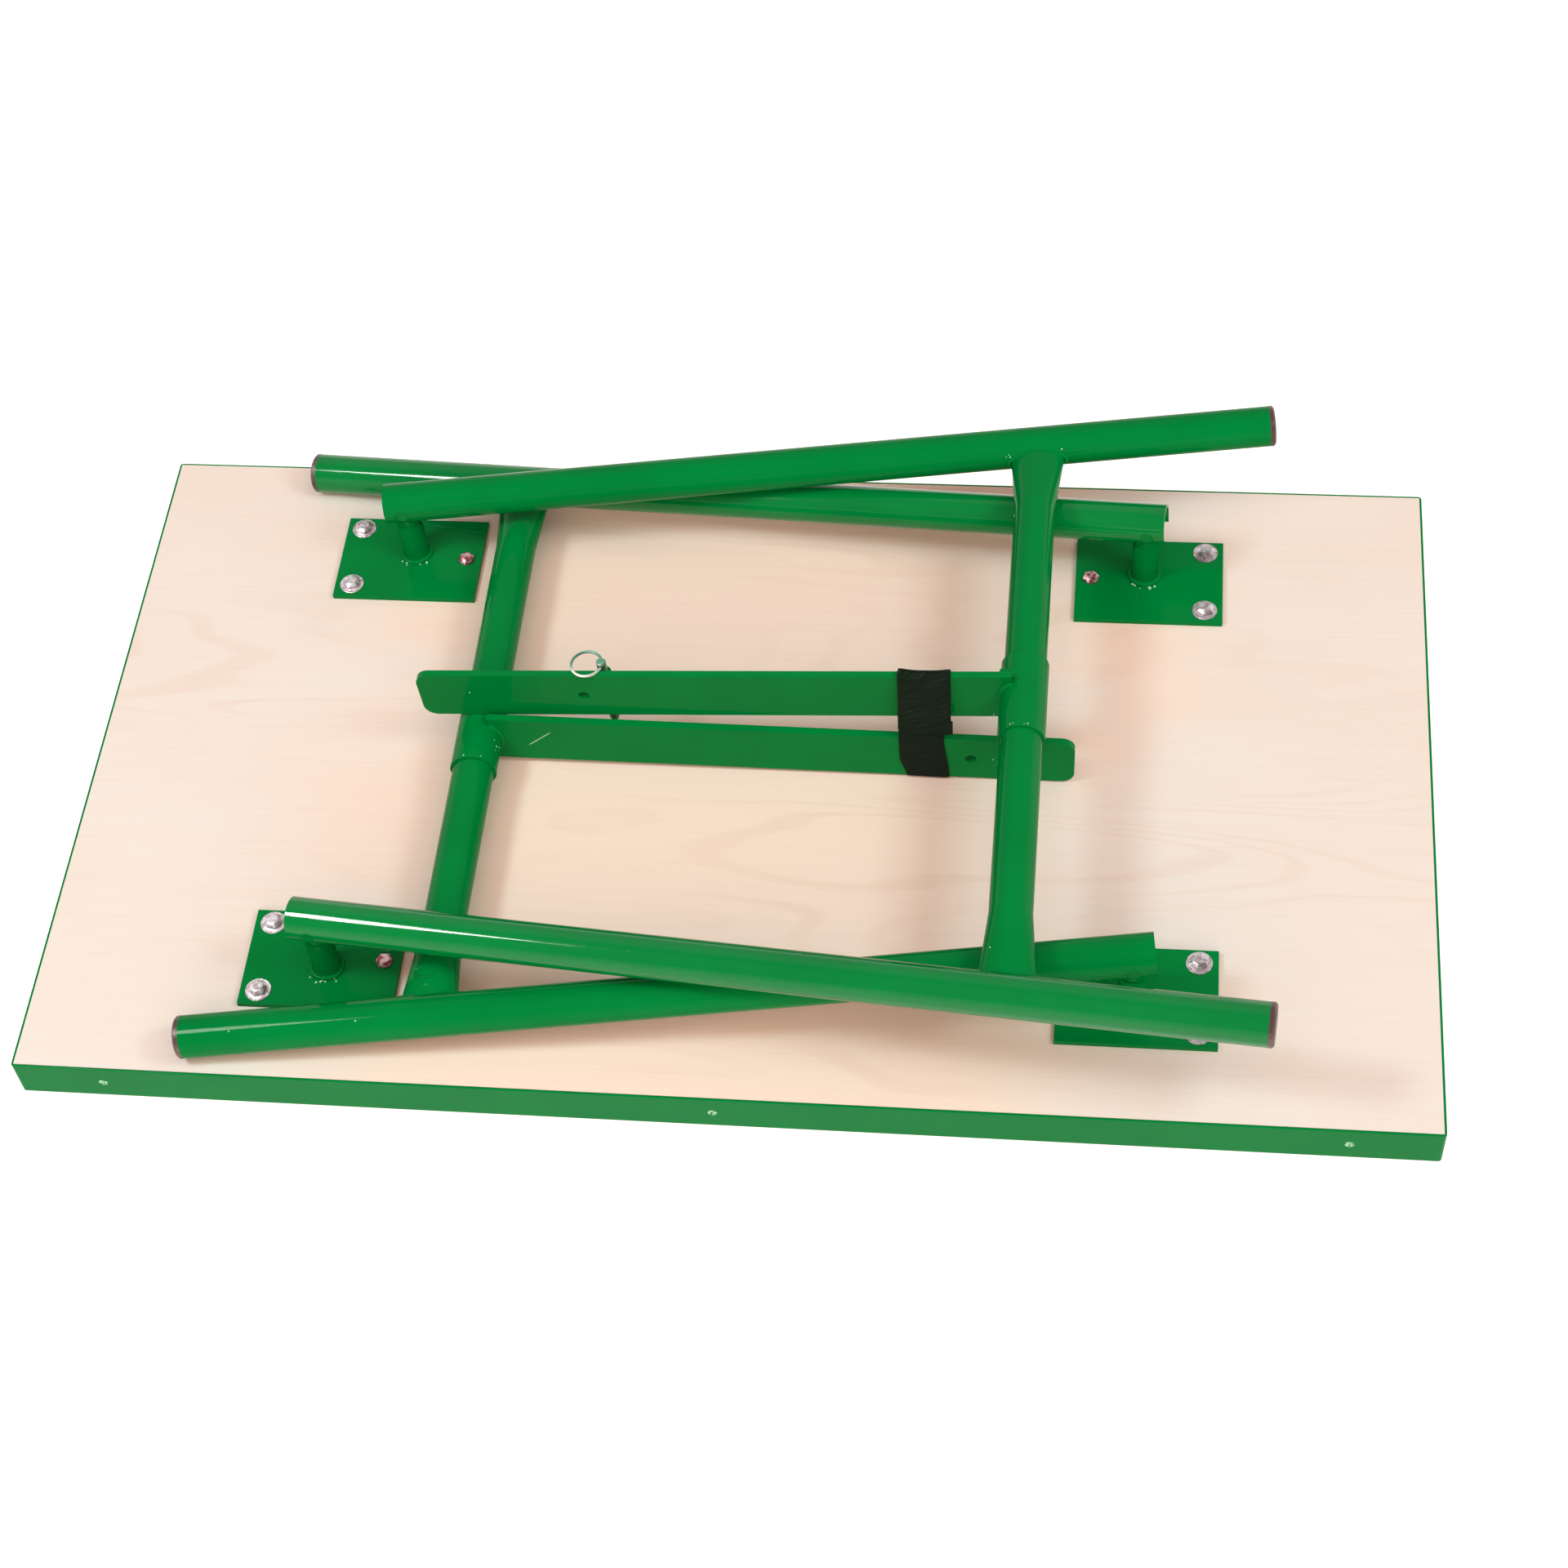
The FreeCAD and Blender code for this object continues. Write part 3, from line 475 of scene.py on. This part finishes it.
# Painted reflection: the red tint and dark red patches of the small bolts stand in for reddish reflections.
red_reflection_zinc = bright_zinc("red_reflection_zinc", (0.90, 0.58, 0.60, 1.0), (0.42, 0.09, 0.12, 1.0))
bolt_y, large_x, large_apart, small_x, washer_top = 0.2075, 0.366, 0.0315, 0.270, 0.045
large = [(sx * large_x, sy * bolt_y + dy, washer_top) for _, sx, sy in corners for dy in (-large_apart, large_apart)]
small = [(sx * small_x, sy * bolt_y, plate_top) for _, sx, sy in corners]
stops = np.random.default_rng(8).uniform(0.0, 1.0, 12)
large_bolt = hexagon_bolt(flats=0.0132, head=0.0042, shank_r=0.005, depth=0.035)
small_bolt = hexagon_bolt(flats=0.0125, head=0.0048, shank_r=0.004, depth=0.033)
shell("large_bolts", [planted(large_bolt, place, upward, stop) for place, stop in zip(large, stops)],
      zinc, "top", ["plate_bolts_large"], crease=28.0)
shell("small_bolts", [planted(small_bolt, place, upward, stop) for place, stop in zip(small, stops[len(large):])],
      red_reflection_zinc, "top", ["plate_bolts_small"], crease=28.0)
flange_mm = [(5.1, 0.0), (10.0, 0.0), (10.3, 0.15), (10.4, 0.6), (10.3, 1.0), (10.0, 1.2),
             (9.5, 1.15), (9.0, 1.05), (7.6, 1.6), (6.9, 2.0), (5.1, 2.0), (5.1, 0.0)]
flange = turned(0.001 * np.array(flange_mm), 64)
shell("flange_washers", [planted(flange, (x, y, plate_top), upward) for x, y, _ in large],
      zinc, "top", ["plate_washers"])


# Leg frames
# Each frame is two splayed tubes joined by a crossbar, whose ends are pressed flat and wide and fit round the tube.
# A weld bead runs round each saddle; the hinge pins go through the slotted ends of the tubes.
def each_leg(kind):
    """The names of the four nodes of one kind, one for each leg."""
    return [f"{level}_{kind}_{end}" for level in ("upper", "lower") for end in ("front", "rear")]


dress(enamel, "upper_crossbar", "lower_crossbar", *each_leg("leg"), *each_leg("hinge_pin"))
dress(green_enamel("polished_enamel", shine=0.28), "upper_leg_front", "lower_leg_rear")


def saddle_bead(middle, tilt, side, outward, seed):
    """The bead where a pressed crossbar end meets a leg tube.

    The bar's end is an ellipse across the bar, and each of its points goes along the bar until its distance from
    the leg's axis is the tube's radius.
    """
    half_wide, half_thick, tube_r, splay = 0.024, 0.0085, 0.01685, math.radians(6.109)
    toward_bar = 0.8
    toward_foot = np.array([side * math.cos(tilt), 0.0, side * math.sin(tilt)])
    normal = np.array([-math.sin(tilt), 0.0, math.cos(tilt)])
    out = np.array([0.0, outward, 0.0])
    angle = np.linspace(0.0, 2.0 * np.pi, 240, endpoint=False)[:, None]
    wide, thick = half_wide * np.cos(angle), half_thick * np.sin(angle)
    inset = (np.sqrt(tube_r ** 2 - thick ** 2) - wide * math.sin(splay)) / math.cos(splay)
    path = np.array(middle) + wide * toward_foot + thick * normal - inset * out
    away = np.cos(angle) * toward_foot + np.sin(angle) * normal - toward_bar * out
    return bead(path, away, fillet_r, ripples=52, seed=seed)


upper_axis, lower_axis = (0.2223, 0.1365), (-0.2216, 0.0696)
crossbar_end = 0.2716
for level, (x, z), tilt, side, seed in (("upper", upper_axis, math.radians(2.929), 1, 21),
                                        ("lower", lower_axis, math.radians(4.195), -1, 31)):
    saddles = [saddle_bead((x, end * crossbar_end, z), tilt, side, end, seed + end) for end in (-1, 1)]
    shell(f"{level}_frame_welds", saddles, enamel, f"{level}_frame", crease=60.0)
upper_spots = [
    ((0.1996, 0.2536, 0.1419), (0.07, -0.90, 0.44), 0.0007),
    ((0.1962, 0.2530, 0.1428), (0.07, -0.88, 0.47), 0.0006),
    ((0.2021, 0.2540, 0.1409), (0.07, -0.90, 0.44), 0.0005),
    ((0.1985, 0.2545, 0.1436), (0.07, -0.85, 0.50), 0.0005),
    ((0.2421, 0.2597, 0.1469), (0.06, -0.82, 0.57), 0.0008),
    ((0.2087, -0.2358, 0.1457), (-0.54, -0.05, 0.84), 0.0006),
]
lower_spots = [
    ((-0.2729, -0.2853, 0.0806), (-0.01, -0.50, 0.87), 0.0007),
    ((-0.3715, -0.2957, 0.0734), (-0.01, -0.50, 0.87), 0.0006),
]
shell("upper_frame_spatter", spatter(upper_spots), painted_glint_enamel, "upper_frame")
plug_x, plug_y, plug_long, plug_wide = -0.2264, -0.2390, 0.0086, 0.0052
flat_wide, flat_thick = 0.0206, 0.0124
round_plug = np.linspace(0.0, 2.0 * np.pi, 72, endpoint=False)
ring_x, ring_y = plug_x + plug_long * np.cos(round_plug), plug_y + plug_wide * np.sin(round_plug)
ring_z = lower_axis[1] + flat_thick * np.sqrt(1.0 - ((ring_x - lower_axis[0]) / flat_wide) ** 2)
plug_path, plug_away = np.stack([ring_x, ring_y, ring_z], axis=-1), np.tile([0.0, 0.0, 1.0], (72, 1))
plug_ring = bead(plug_path, plug_away, radius=0.0007, ripples=14, seed=41)
shell("plug_weld", [plug_ring], enamel, "lower_frame")
shell("lower_frame_spatter", spatter(lower_spots), painted_glint_enamel, "lower_frame")


# Foot caps
# Dark brown moulded plugs with a rounded rim, pushed into the open feet of the legs.
def cap_plastic():
    """Moulded plastic: dark, with a fine spark texture, and worn a little paler in patches where it stands."""
    finish = Finish("cap_plastic")
    fresh, rubbed = (0.075, 0.036, 0.031, 1.0), (0.170, 0.110, 0.098, 1.0)
    wear_scale, gloss_scale, spark_scale = 90.0, 300.0, 1500.0
    worn = finish.band(finish.noise(finish.place, wear_scale, 4.0), 0.45, 0.75)
    finish.set(Base_Color=finish.mix(worn, fresh, rubbed))
    finish.set(Roughness=finish.band(finish.noise(finish.place, gloss_scale, 3.0), 0.3, 0.75, 0.32, 0.50))
    finish.set(Normal=finish.bump(finish.noise(finish.place, spark_scale, 2.0), 0.25, fine_relief))
    return finish.material


dress(cap_plastic(), *each_leg("foot_cap"))


# Braces
# Each brace is a flat bar with a rounded end, welded to a sleeve that turns on a crossbar.
# Beads and a fillet hold the bar in the sleeve; the lower bar has a scratch in its paint near the sleeve.
def scratch(finish):
    """A scrape along a slanting line on the front of the lower bar: narrow and ragged, fading at both ends."""
    middle, slant = (-0.1715, -0.004, 0.0712), (0.0, math.radians(-41.7), 0.0)
    strength, rag = 0.8, 0.0008
    line = finish.local(middle, slant)
    across = finish.sums("ABSOLUTE", finish.part(line, "Z"))
    along = finish.sums("ABSOLUTE", finish.part(line, "X"))
    ragged = finish.times(finish.noise(finish.place, 900.0, 2.0), rag)
    narrow = finish.band(finish.sums("ADD", across, ragged), 0.00115, 0.0006)
    face = finish.band(finish.sums("ABSOLUTE", finish.part(line, "Y")), 0.0009, 0.0005)
    fading = finish.times(narrow, finish.band(along, 0.0145, 0.010))
    return finish.times(fading, finish.times(face, strength))


sleeve_r = 0.019
dress(enamel, "upper_brace_bar", "upper_brace_sleeve", "lower_brace_sleeve")
dress(green_enamel("scratched_enamel", scratch), "lower_brace_bar")
soften(0.0006, "upper_brace_bar", "lower_brace_bar")


def sleeve_bead(centre, y, toward, seed):
    """A bead on the round of a sleeve where a face of the bar meets it: an arc about the side the bar leaves from."""
    half_arc, path_r, bead_r = 1.10, 0.0191, 0.0019
    angle = np.linspace(-half_arc, half_arc, 110)
    away = np.stack([toward * np.cos(angle), np.zeros(110), np.sin(angle)], axis=-1)
    path = np.array((centre[0], y, centre[1])) + path_r * away
    return bead(path, away, bead_r, ripples=20, seed=seed, closed=False)


def capped(grid):
    """A grid whose first and last rows are each closed by a ring drawn at their middle."""
    ends = [np.repeat(grid[row].mean(axis=0)[None, None], grid.shape[1], axis=1) for row in (0, -1)]
    return np.concatenate([ends[0], grid, ends[1]])


def sleeve_web(centre, y, top, leg):
    """A hollow fillet standing in the corner behind the bar, between its back face and the sleeve's side.

    Its section in plan has one leg along the bar and one along the sleeve, with a quarter circle cut out between
    them, and it reaches across to the sleeve's round. It grows from a small foot and ends flat under the bar's edge.
    """
    foot_drop, grown, sunk, bar_sink = 0.012, 0.010, 0.001, -0.10
    z = np.linspace(centre[1] - foot_drop, top, 40)
    ripple = 0.96 + 0.08 * np.abs(np.sin(1500.0 * z))
    size = leg * np.clip((z - z[0]) / grown, 0.03, 1.0) ** 0.6 * ripple
    inside = sleeve_r - np.sqrt(np.clip(sleeve_r ** 2 - (z - centre[1]) ** 2, 0.0, None)) + sunk * size / leg
    cut = np.linspace(0.0, 0.5 * np.pi, 9)
    x = np.column_stack([-size[:, None] * (1.0 - np.sin(cut)), inside, inside, -size])
    depth = np.concatenate([1.0 - np.cos(cut), [1.0, bar_sink, bar_sink]]) * size[:, None]
    web = np.stack([centre[0] - sleeve_r + x, y + depth, z[:, None] * np.ones_like(x)], axis=-1)
    return capped(web)


def hole_burr(x, y, z, seed):
    """The burr at the back of a drilled hole, rounded over by paint: a ring bead on the hole's edge."""
    hole_r, burr_r = 0.0045, 0.0009
    round_hole = np.linspace(0.0, 2.0 * np.pi, 48, endpoint=False)
    edge = hole_r * np.stack([np.cos(round_hole), np.zeros(48), np.sin(round_hole)], axis=-1)
    return bead(np.array((x, y, z)) + edge, np.tile([0.0, 1.0, 0.0], (48, 1)), burr_r, ripples=9, seed=seed)


def sleeve_spot(axis, y, angle, radius):
    """A drop of spatter on a sleeve, at an angle from its top."""
    out = (math.sin(angle), 0.0, math.cos(angle))
    return (axis[0] + sleeve_r * out[0], y, axis[1] + sleeve_r * out[2]), out, radius


upper_welds = [sleeve_bead(upper_axis, y=0.0052, toward=-1, seed=51),
               sleeve_web(upper_axis, y=0.0115, top=0.1546, leg=0.0075),
               hole_burr(x=-0.1304, y=0.0115, z=0.1186, seed=71)]
lower_welds = [sleeve_bead(lower_axis, y=-0.0043, toward=1, seed=61),
               sleeve_bead(lower_axis, y=0.0023, toward=1, seed=62),
               hole_burr(x=0.1802, y=0.0020, z=0.0651, seed=72)]
upper_drops = [(-0.0190, -1.47, 0.0007), (-0.0345, -0.47, 0.0008), (-0.0340, -0.35, 0.0005),
               (-0.0343, 0.27, 0.0007), (-0.0352, 0.12, 0.0005)]
lower_drops = [(-0.0355, -0.31, 0.0007), (-0.0350, 0.43, 0.0007), (-0.0182, 1.14, 0.0008),
               (-0.0143, 0.94, 0.0005), (-0.0163, 1.36, 0.0006), (-0.0225, 1.10, 0.0005)]
upper_bar_drops = [((0.1987, 0.0055, 0.1126), (0, -1, 0), 0.0007), ((-0.2243, 0.0055, 0.1174), (0, -1, 0), 0.0007)]
lower_bar_drops = [((0.1982, -0.004, 0.0655), (0, -1, 0), 0.0005)]
shell("upper_brace_welds", upper_welds, enamel, "upper_brace", crease=60.0)
shell("lower_brace_welds", lower_welds, enamel, "lower_brace", crease=60.0)
shell("upper_brace_spatter", spatter([sleeve_spot(upper_axis, *drop) for drop in upper_drops] + upper_bar_drops),
      painted_glint_enamel, "upper_brace")
shell("lower_brace_spatter", spatter([sleeve_spot(lower_axis, *drop) for drop in lower_drops] + lower_bar_drops),
      painted_glint_enamel, "lower_brace")

# Lock pin
# A bright steel pin with a pointed end and a wire pull ring, kept in a short tube on the back of the upper bar.
# Towards the back the steel is painted green: a painted reflection of the green bar on the pin and the back of the
# ring.
pin_steel = bright_zinc("pin_steel", (0.86, 0.86, 0.76, 1.0), (0.17, 0.40, 0.27, 1.0),
                        lambda finish: finish.band(finish.part(finish.place, "Y"), 0.008, 0.017))
dress(enamel, "pin_keeper")
dress(pin_steel, "lock_pin", "pull_ring")


# Strap
# A black hook and loop strap, 40 mm wide, wound round both bars and pressed shut on its own end.
# Its edges curl up over the top of the upper bar, and its lower part has slipped and narrowed a little.
def strap_fabric():
    """Hook and loop fabric: slanting streaks of nap, painted paler on its upper part as a painted sheen, with a fine
    weave under it.
    """
    finish = Finish("strap_fabric")
    dark, sheen_pale = (0.0052, 0.0125, 0.0062, 1.0), (0.0160, 0.0280, 0.0180, 1.0)
    slant, streak = (0.0, math.radians(-20.0), 0.0), (0.026, 0.020, 0.0008)
    nap = finish.noise(finish.local((0.0, 0.0, 0.0), slant, streak), 1.0, 3.0, 0.55)
    height = finish.part(finish.place, "Z")
    # Painted sheen: the nap streaks are mixed paler only above a height on the strap.
    painted_sheen = finish.times(finish.band(nap, 0.48, 0.72), finish.band(height, 0.098, 0.120, 0.12, 1.0))
    colour = finish.mix(painted_sheen, dark, sheen_pale)
    threads = {"Vector": finish.place, "Scale": 420.0, "Distortion": 1.5, "Detail": 1.0}
    weave = finish.node("ShaderNodeTexWave", threads, output="Fac", bands_direction="Z")
    finish.set(Base_Color=colour, Roughness=finish.band(nap, 0.35, 0.7, 0.95, 0.70), Specular_IOR_Level=0.08)
    finish.set(Sheen_Weight=0.02, Sheen_Roughness=0.5)
    fine = finish.bump(weave, 0.10, 0.0001)
    finish.set(Normal=finish.bump(nap, 0.25, fine_relief, fine))
    return finish.material


def strap_loop(count):
    """The line of the strap, y and z, and its outward direction, round the corners of both bars.

    A corner's arc is a parabola between a point before it and a point after it. The line is then walked in even
    steps, from the top front corner down the front.
    """
    corner_mm = np.array([(5.5, 157.6), (-4.0, 90.5), (-4.0, 40.5), (2.0, 40.5), (11.5, 107.5), (11.5, 157.6)])
    arc_mm = 2.4
    before, after = np.roll(corner_mm, 1, axis=0) - corner_mm, np.roll(corner_mm, -1, axis=0) - corner_mm
    before = corner_mm + arc_mm * before / np.linalg.norm(before, axis=1, keepdims=True)
    after = corner_mm + arc_mm * after / np.linalg.norm(after, axis=1, keepdims=True)
    t = np.linspace(0.0, 1.0, 9)[:, None]
    arcs = (1 - t) ** 2 * before[:, None] + 2 * t * (1 - t) * corner_mm[:, None] + t ** 2 * after[:, None]
    line = looped(arcs.reshape(-1, 2))
    walked = np.concatenate([[0.0], np.cumsum(np.linalg.norm(np.diff(line, axis=0), axis=1))])
    even = np.linspace(0.0, walked[-1], count, endpoint=False)
    line = np.stack([np.interp(even, walked, line[:, 0]), np.interp(even, walked, line[:, 1])], axis=-1)
    along = np.roll(line, -1, axis=0) - np.roll(line, 1, axis=0)
    outward = np.stack([along[:, 1], -along[:, 0]], axis=-1)
    return 0.001 * line, outward / np.linalg.norm(outward, axis=1, keepdims=True)


def ribbon(line, outward, lift, thick, left, right):
    """A flat band carried along a line: left and right are its edges in x at each row, and its edges are rounded.

    It cups by the square of the distance from its middle where it goes over the top, and waves a little along its
    length.
    """
    curl_start, curl_run, curl_rise, middle_dip = 0.140, 0.018, 0.0026, 0.12
    wave_rise, waves, wave_slant = 0.00022, 2.0, 0.30
    share = np.concatenate([np.linspace(-1.0, 1.0, 17), np.linspace(1.0, -1.0, 17)])
    face = np.repeat([1.0, -1.0], 17) * np.sqrt(1.0 - share ** 10)
    x = 0.5 * (left + right)[:, None] + 0.5 * (right - left)[:, None] * share
    crown = np.clip((line[:, 1] - curl_start) / curl_run, 0.0, 1.0)[:, None] ** 2
    cup = curl_rise * crown * (share ** 2 - middle_dip) * np.clip(outward[:, 1:], 0.0, 1.0)
    step = np.linspace(0.0, 1.0, len(line))[:, None]
    wave = wave_rise * (1.0 + np.sin(2.0 * np.pi * (waves * step + wave_slant * share)))
    off = lift + 0.5 * thick * face + cup + wave
    return np.stack([x, line[:, :1] + off * outward[:, :1], line[:, 1:] + off * outward[:, 1:]], axis=-1)


def smooth(value, low, high):
    """A step from 0 to 1 between low and high, flat at both ends."""
    share = np.clip((value - low) / (high - low), 0.0, 1.0)
    return share * share * (3.0 - 2.0 * share)


strap_rows, strap_thick, band_lift, flap_lift, flap_end = 260, 0.0013, 0.0009, 0.0024, 0.0985
strap_line, strap_away = strap_loop(strap_rows)
strap_z = strap_line[:, 1]
strap_left = 0.1236 - 0.0008 * smooth(strap_z, 0.150, 0.075) + 0.0052 * smooth(strap_z, 0.066, 0.040)
strap_right = 0.1650 - 0.0058 * smooth(strap_z, 0.112, 0.094) + 0.0034 * smooth(strap_z, 0.092, 0.042)
band_grid = looped(ribbon(strap_line, strap_away, band_lift, strap_thick, strap_left, strap_right))
front = np.flatnonzero((strap_z > flap_end) & (np.arange(strap_rows) < strap_rows // 2))
flap_z = strap_z[front]
flap_left = strap_left[front] - 0.0003 + 0.0012 * smooth(flap_z, 0.103, flap_end)
flap_right = 0.1642 - 0.0008 * smooth(flap_z, 0.134, 0.114) + 0.0032 * smooth(flap_z, 0.1145, 0.1125)
flap_grid = capped(ribbon(strap_line[front], strap_away[front], flap_lift, strap_thick, flap_left, flap_right))
strap = shell("strap_band", [band_grid, flap_grid], strap_fabric(), "upper_brace", ["strap"],
              crease=50.0)
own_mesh(strap)

# Studio
# White paper under the bench, a cool softbox at each side, and warm light from the room, most of it from the front
# and above and some from the right. A bright strip at the left shows only as a reflection.
floor_half, floor_drop, paper_glow = 14.0, 0.0005, 0.52
floor_mesh = bpy.data.meshes.new("floor")
floor_mesh.from_pydata([(floor_half * x, floor_half * y, 0.0) for x, y in ((-1, -1), (1, -1), (1, 1), (-1, 1))],
                       [], [(0, 1, 2, 3)])
floor = bpy.data.objects.new("floor", floor_mesh)
floor.location.z = -floor_drop
bpy.context.scene.collection.objects.link(floor)
paper = Finish("floor_paper")
rays = paper.tree.nodes.new("ShaderNodeLightPath")
seen = paper.sums("ADD", rays.outputs["Is Camera Ray"], rays.outputs["Is Glossy Ray"])
seen = paper.sums("ADD", seen, rays.outputs["Is Transmission Ray"], clamp=True)
paper.set(Base_Color=(0.97, 0.97, 0.97, 1.0), Roughness=0.9, Specular_IOR_Level=0.05)
paper.set(Emission_Color=(1.0, 1.0, 1.0, 1.0), Emission_Strength=paper.times(seen, paper_glow))
floor_mesh.materials.append(paper.material)


def softbox(name, place, width, height, power, tint):
    """A rectangular area light at a place, turned to face the origin. It gives back the lamp."""
    data = bpy.data.lights.new(name, "AREA")
    data.shape = "RECTANGLE"
    data.size = width
    data.size_y = height
    data.energy = power
    data.color = tint
    lamp = bpy.data.objects.new(name, data)
    lamp.location = place
    lamp.rotation_euler = (-Vector(place)).to_track_quat("-Z", "Y").to_euler()
    bpy.context.scene.collection.objects.link(lamp)
    return lamp


cool, neutral = (0.60, 0.95, 1.0), (1.0, 1.0, 1.0)
left = softbox("left_softbox", (-1.15, -0.60, 1.90), width=0.42, height=0.42, power=17.0, tint=cool)
right = softbox("right_softbox", (1.50, -0.45, 1.90), width=0.70, height=0.60, power=16.0, tint=cool)
strip = softbox("left_strip", (-1.18, -0.62, 1.95), width=0.62, height=0.40, power=40.0, tint=neutral)
left.visible_glossy = right.visible_glossy = strip.visible_diffuse = False

world = bpy.data.worlds.new("studio")
bpy.context.scene.world = world
world.use_nodes = True
room = world.node_tree
warm = room.nodes["Background"]
warm.inputs["Color"].default_value = (1.0, 0.76, 0.64, 1.0)


def room_node(kind, inputs, **settings):
    """Add a node to the room's light, filled by number, and give back its outputs."""
    made = room.nodes.new(kind)
    for setting, value in settings.items():
        setattr(made, setting, value)
    for socket, value in inputs.items():
        if isinstance(value, bpy.types.NodeSocket):
            room.links.new(value, made.inputs[socket])
        else:
            made.inputs[socket].default_value = value
    return made.outputs


direction = room_node("ShaderNodeTexCoord", {})["Generated"]
toward = room_node("ShaderNodeSeparateXYZ", {0: direction})


def room_band(value, low, high, start, end):
    """A number carried smoothly from one range to another and held at its ends."""
    inputs = {0: value, 1: low, 2: high, 3: start, 4: end}
    return room_node("ShaderNodeMapRange", inputs, interpolation_type="SMOOTHSTEP")[0]


def room_sum(first, second, clamp=False):
    """Two numbers added."""
    return room_node("ShaderNodeMath", {0: first, 1: second}, operation="ADD", use_clamp=clamp)[0]


def room_lobe(heading, low, high, start, end):
    """Light from round one direction: the cosine of the angle to that heading, carried to a strength by a band."""
    cosine = room_node("ShaderNodeVectorMath", {0: direction, 1: heading}, operation="DOT_PRODUCT")["Value"]
    return room_band(cosine, low, high, start, end)


front_above, right_above = (0.1166, -0.5797, 0.8065), (0.53, 0.25, 0.81)
fill = room_sum(room_lobe(front_above, 0.70, 0.93, 0.14, 2.16), room_lobe(right_above, 0.75, 0.95, 0.0, 0.52))
fill = room_sum(fill, room_band(toward["Y"], -0.60, -0.95, 0.0, 0.90))
room.links.new(fill, warm.inputs["Strength"])
plain = room.nodes.new("ShaderNodeBackground")
plain.inputs["Color"].default_value = (1.0, 1.0, 1.0, 1.0)
paths = room_node("ShaderNodeLightPath", {})
walls = room_sum(room_band(toward["Z"], 0.15, 0.40, 1.0, 0.22), room_band(toward["Y"], 0.05, 0.55, 0.0, 0.50))
white = room_node("ShaderNodeMix", {0: paths["Is Camera Ray"], 2: walls, 3: 1.0}, data_type="FLOAT")[0]
room.links.new(white, plain.inputs["Strength"])
mirrored = room_sum(paths["Is Glossy Ray"], paths["Is Transmission Ray"])
shown = room_sum(paths["Is Camera Ray"], mirrored, clamp=True)
both = room_node("ShaderNodeMixShader", {0: shown, 1: warm.outputs[0], 2: plain.outputs[0]})[0]
room.links.new(both, room.nodes["World Output"].inputs["Surface"])
bpy.context.scene.view_settings.view_transform = "Standard"
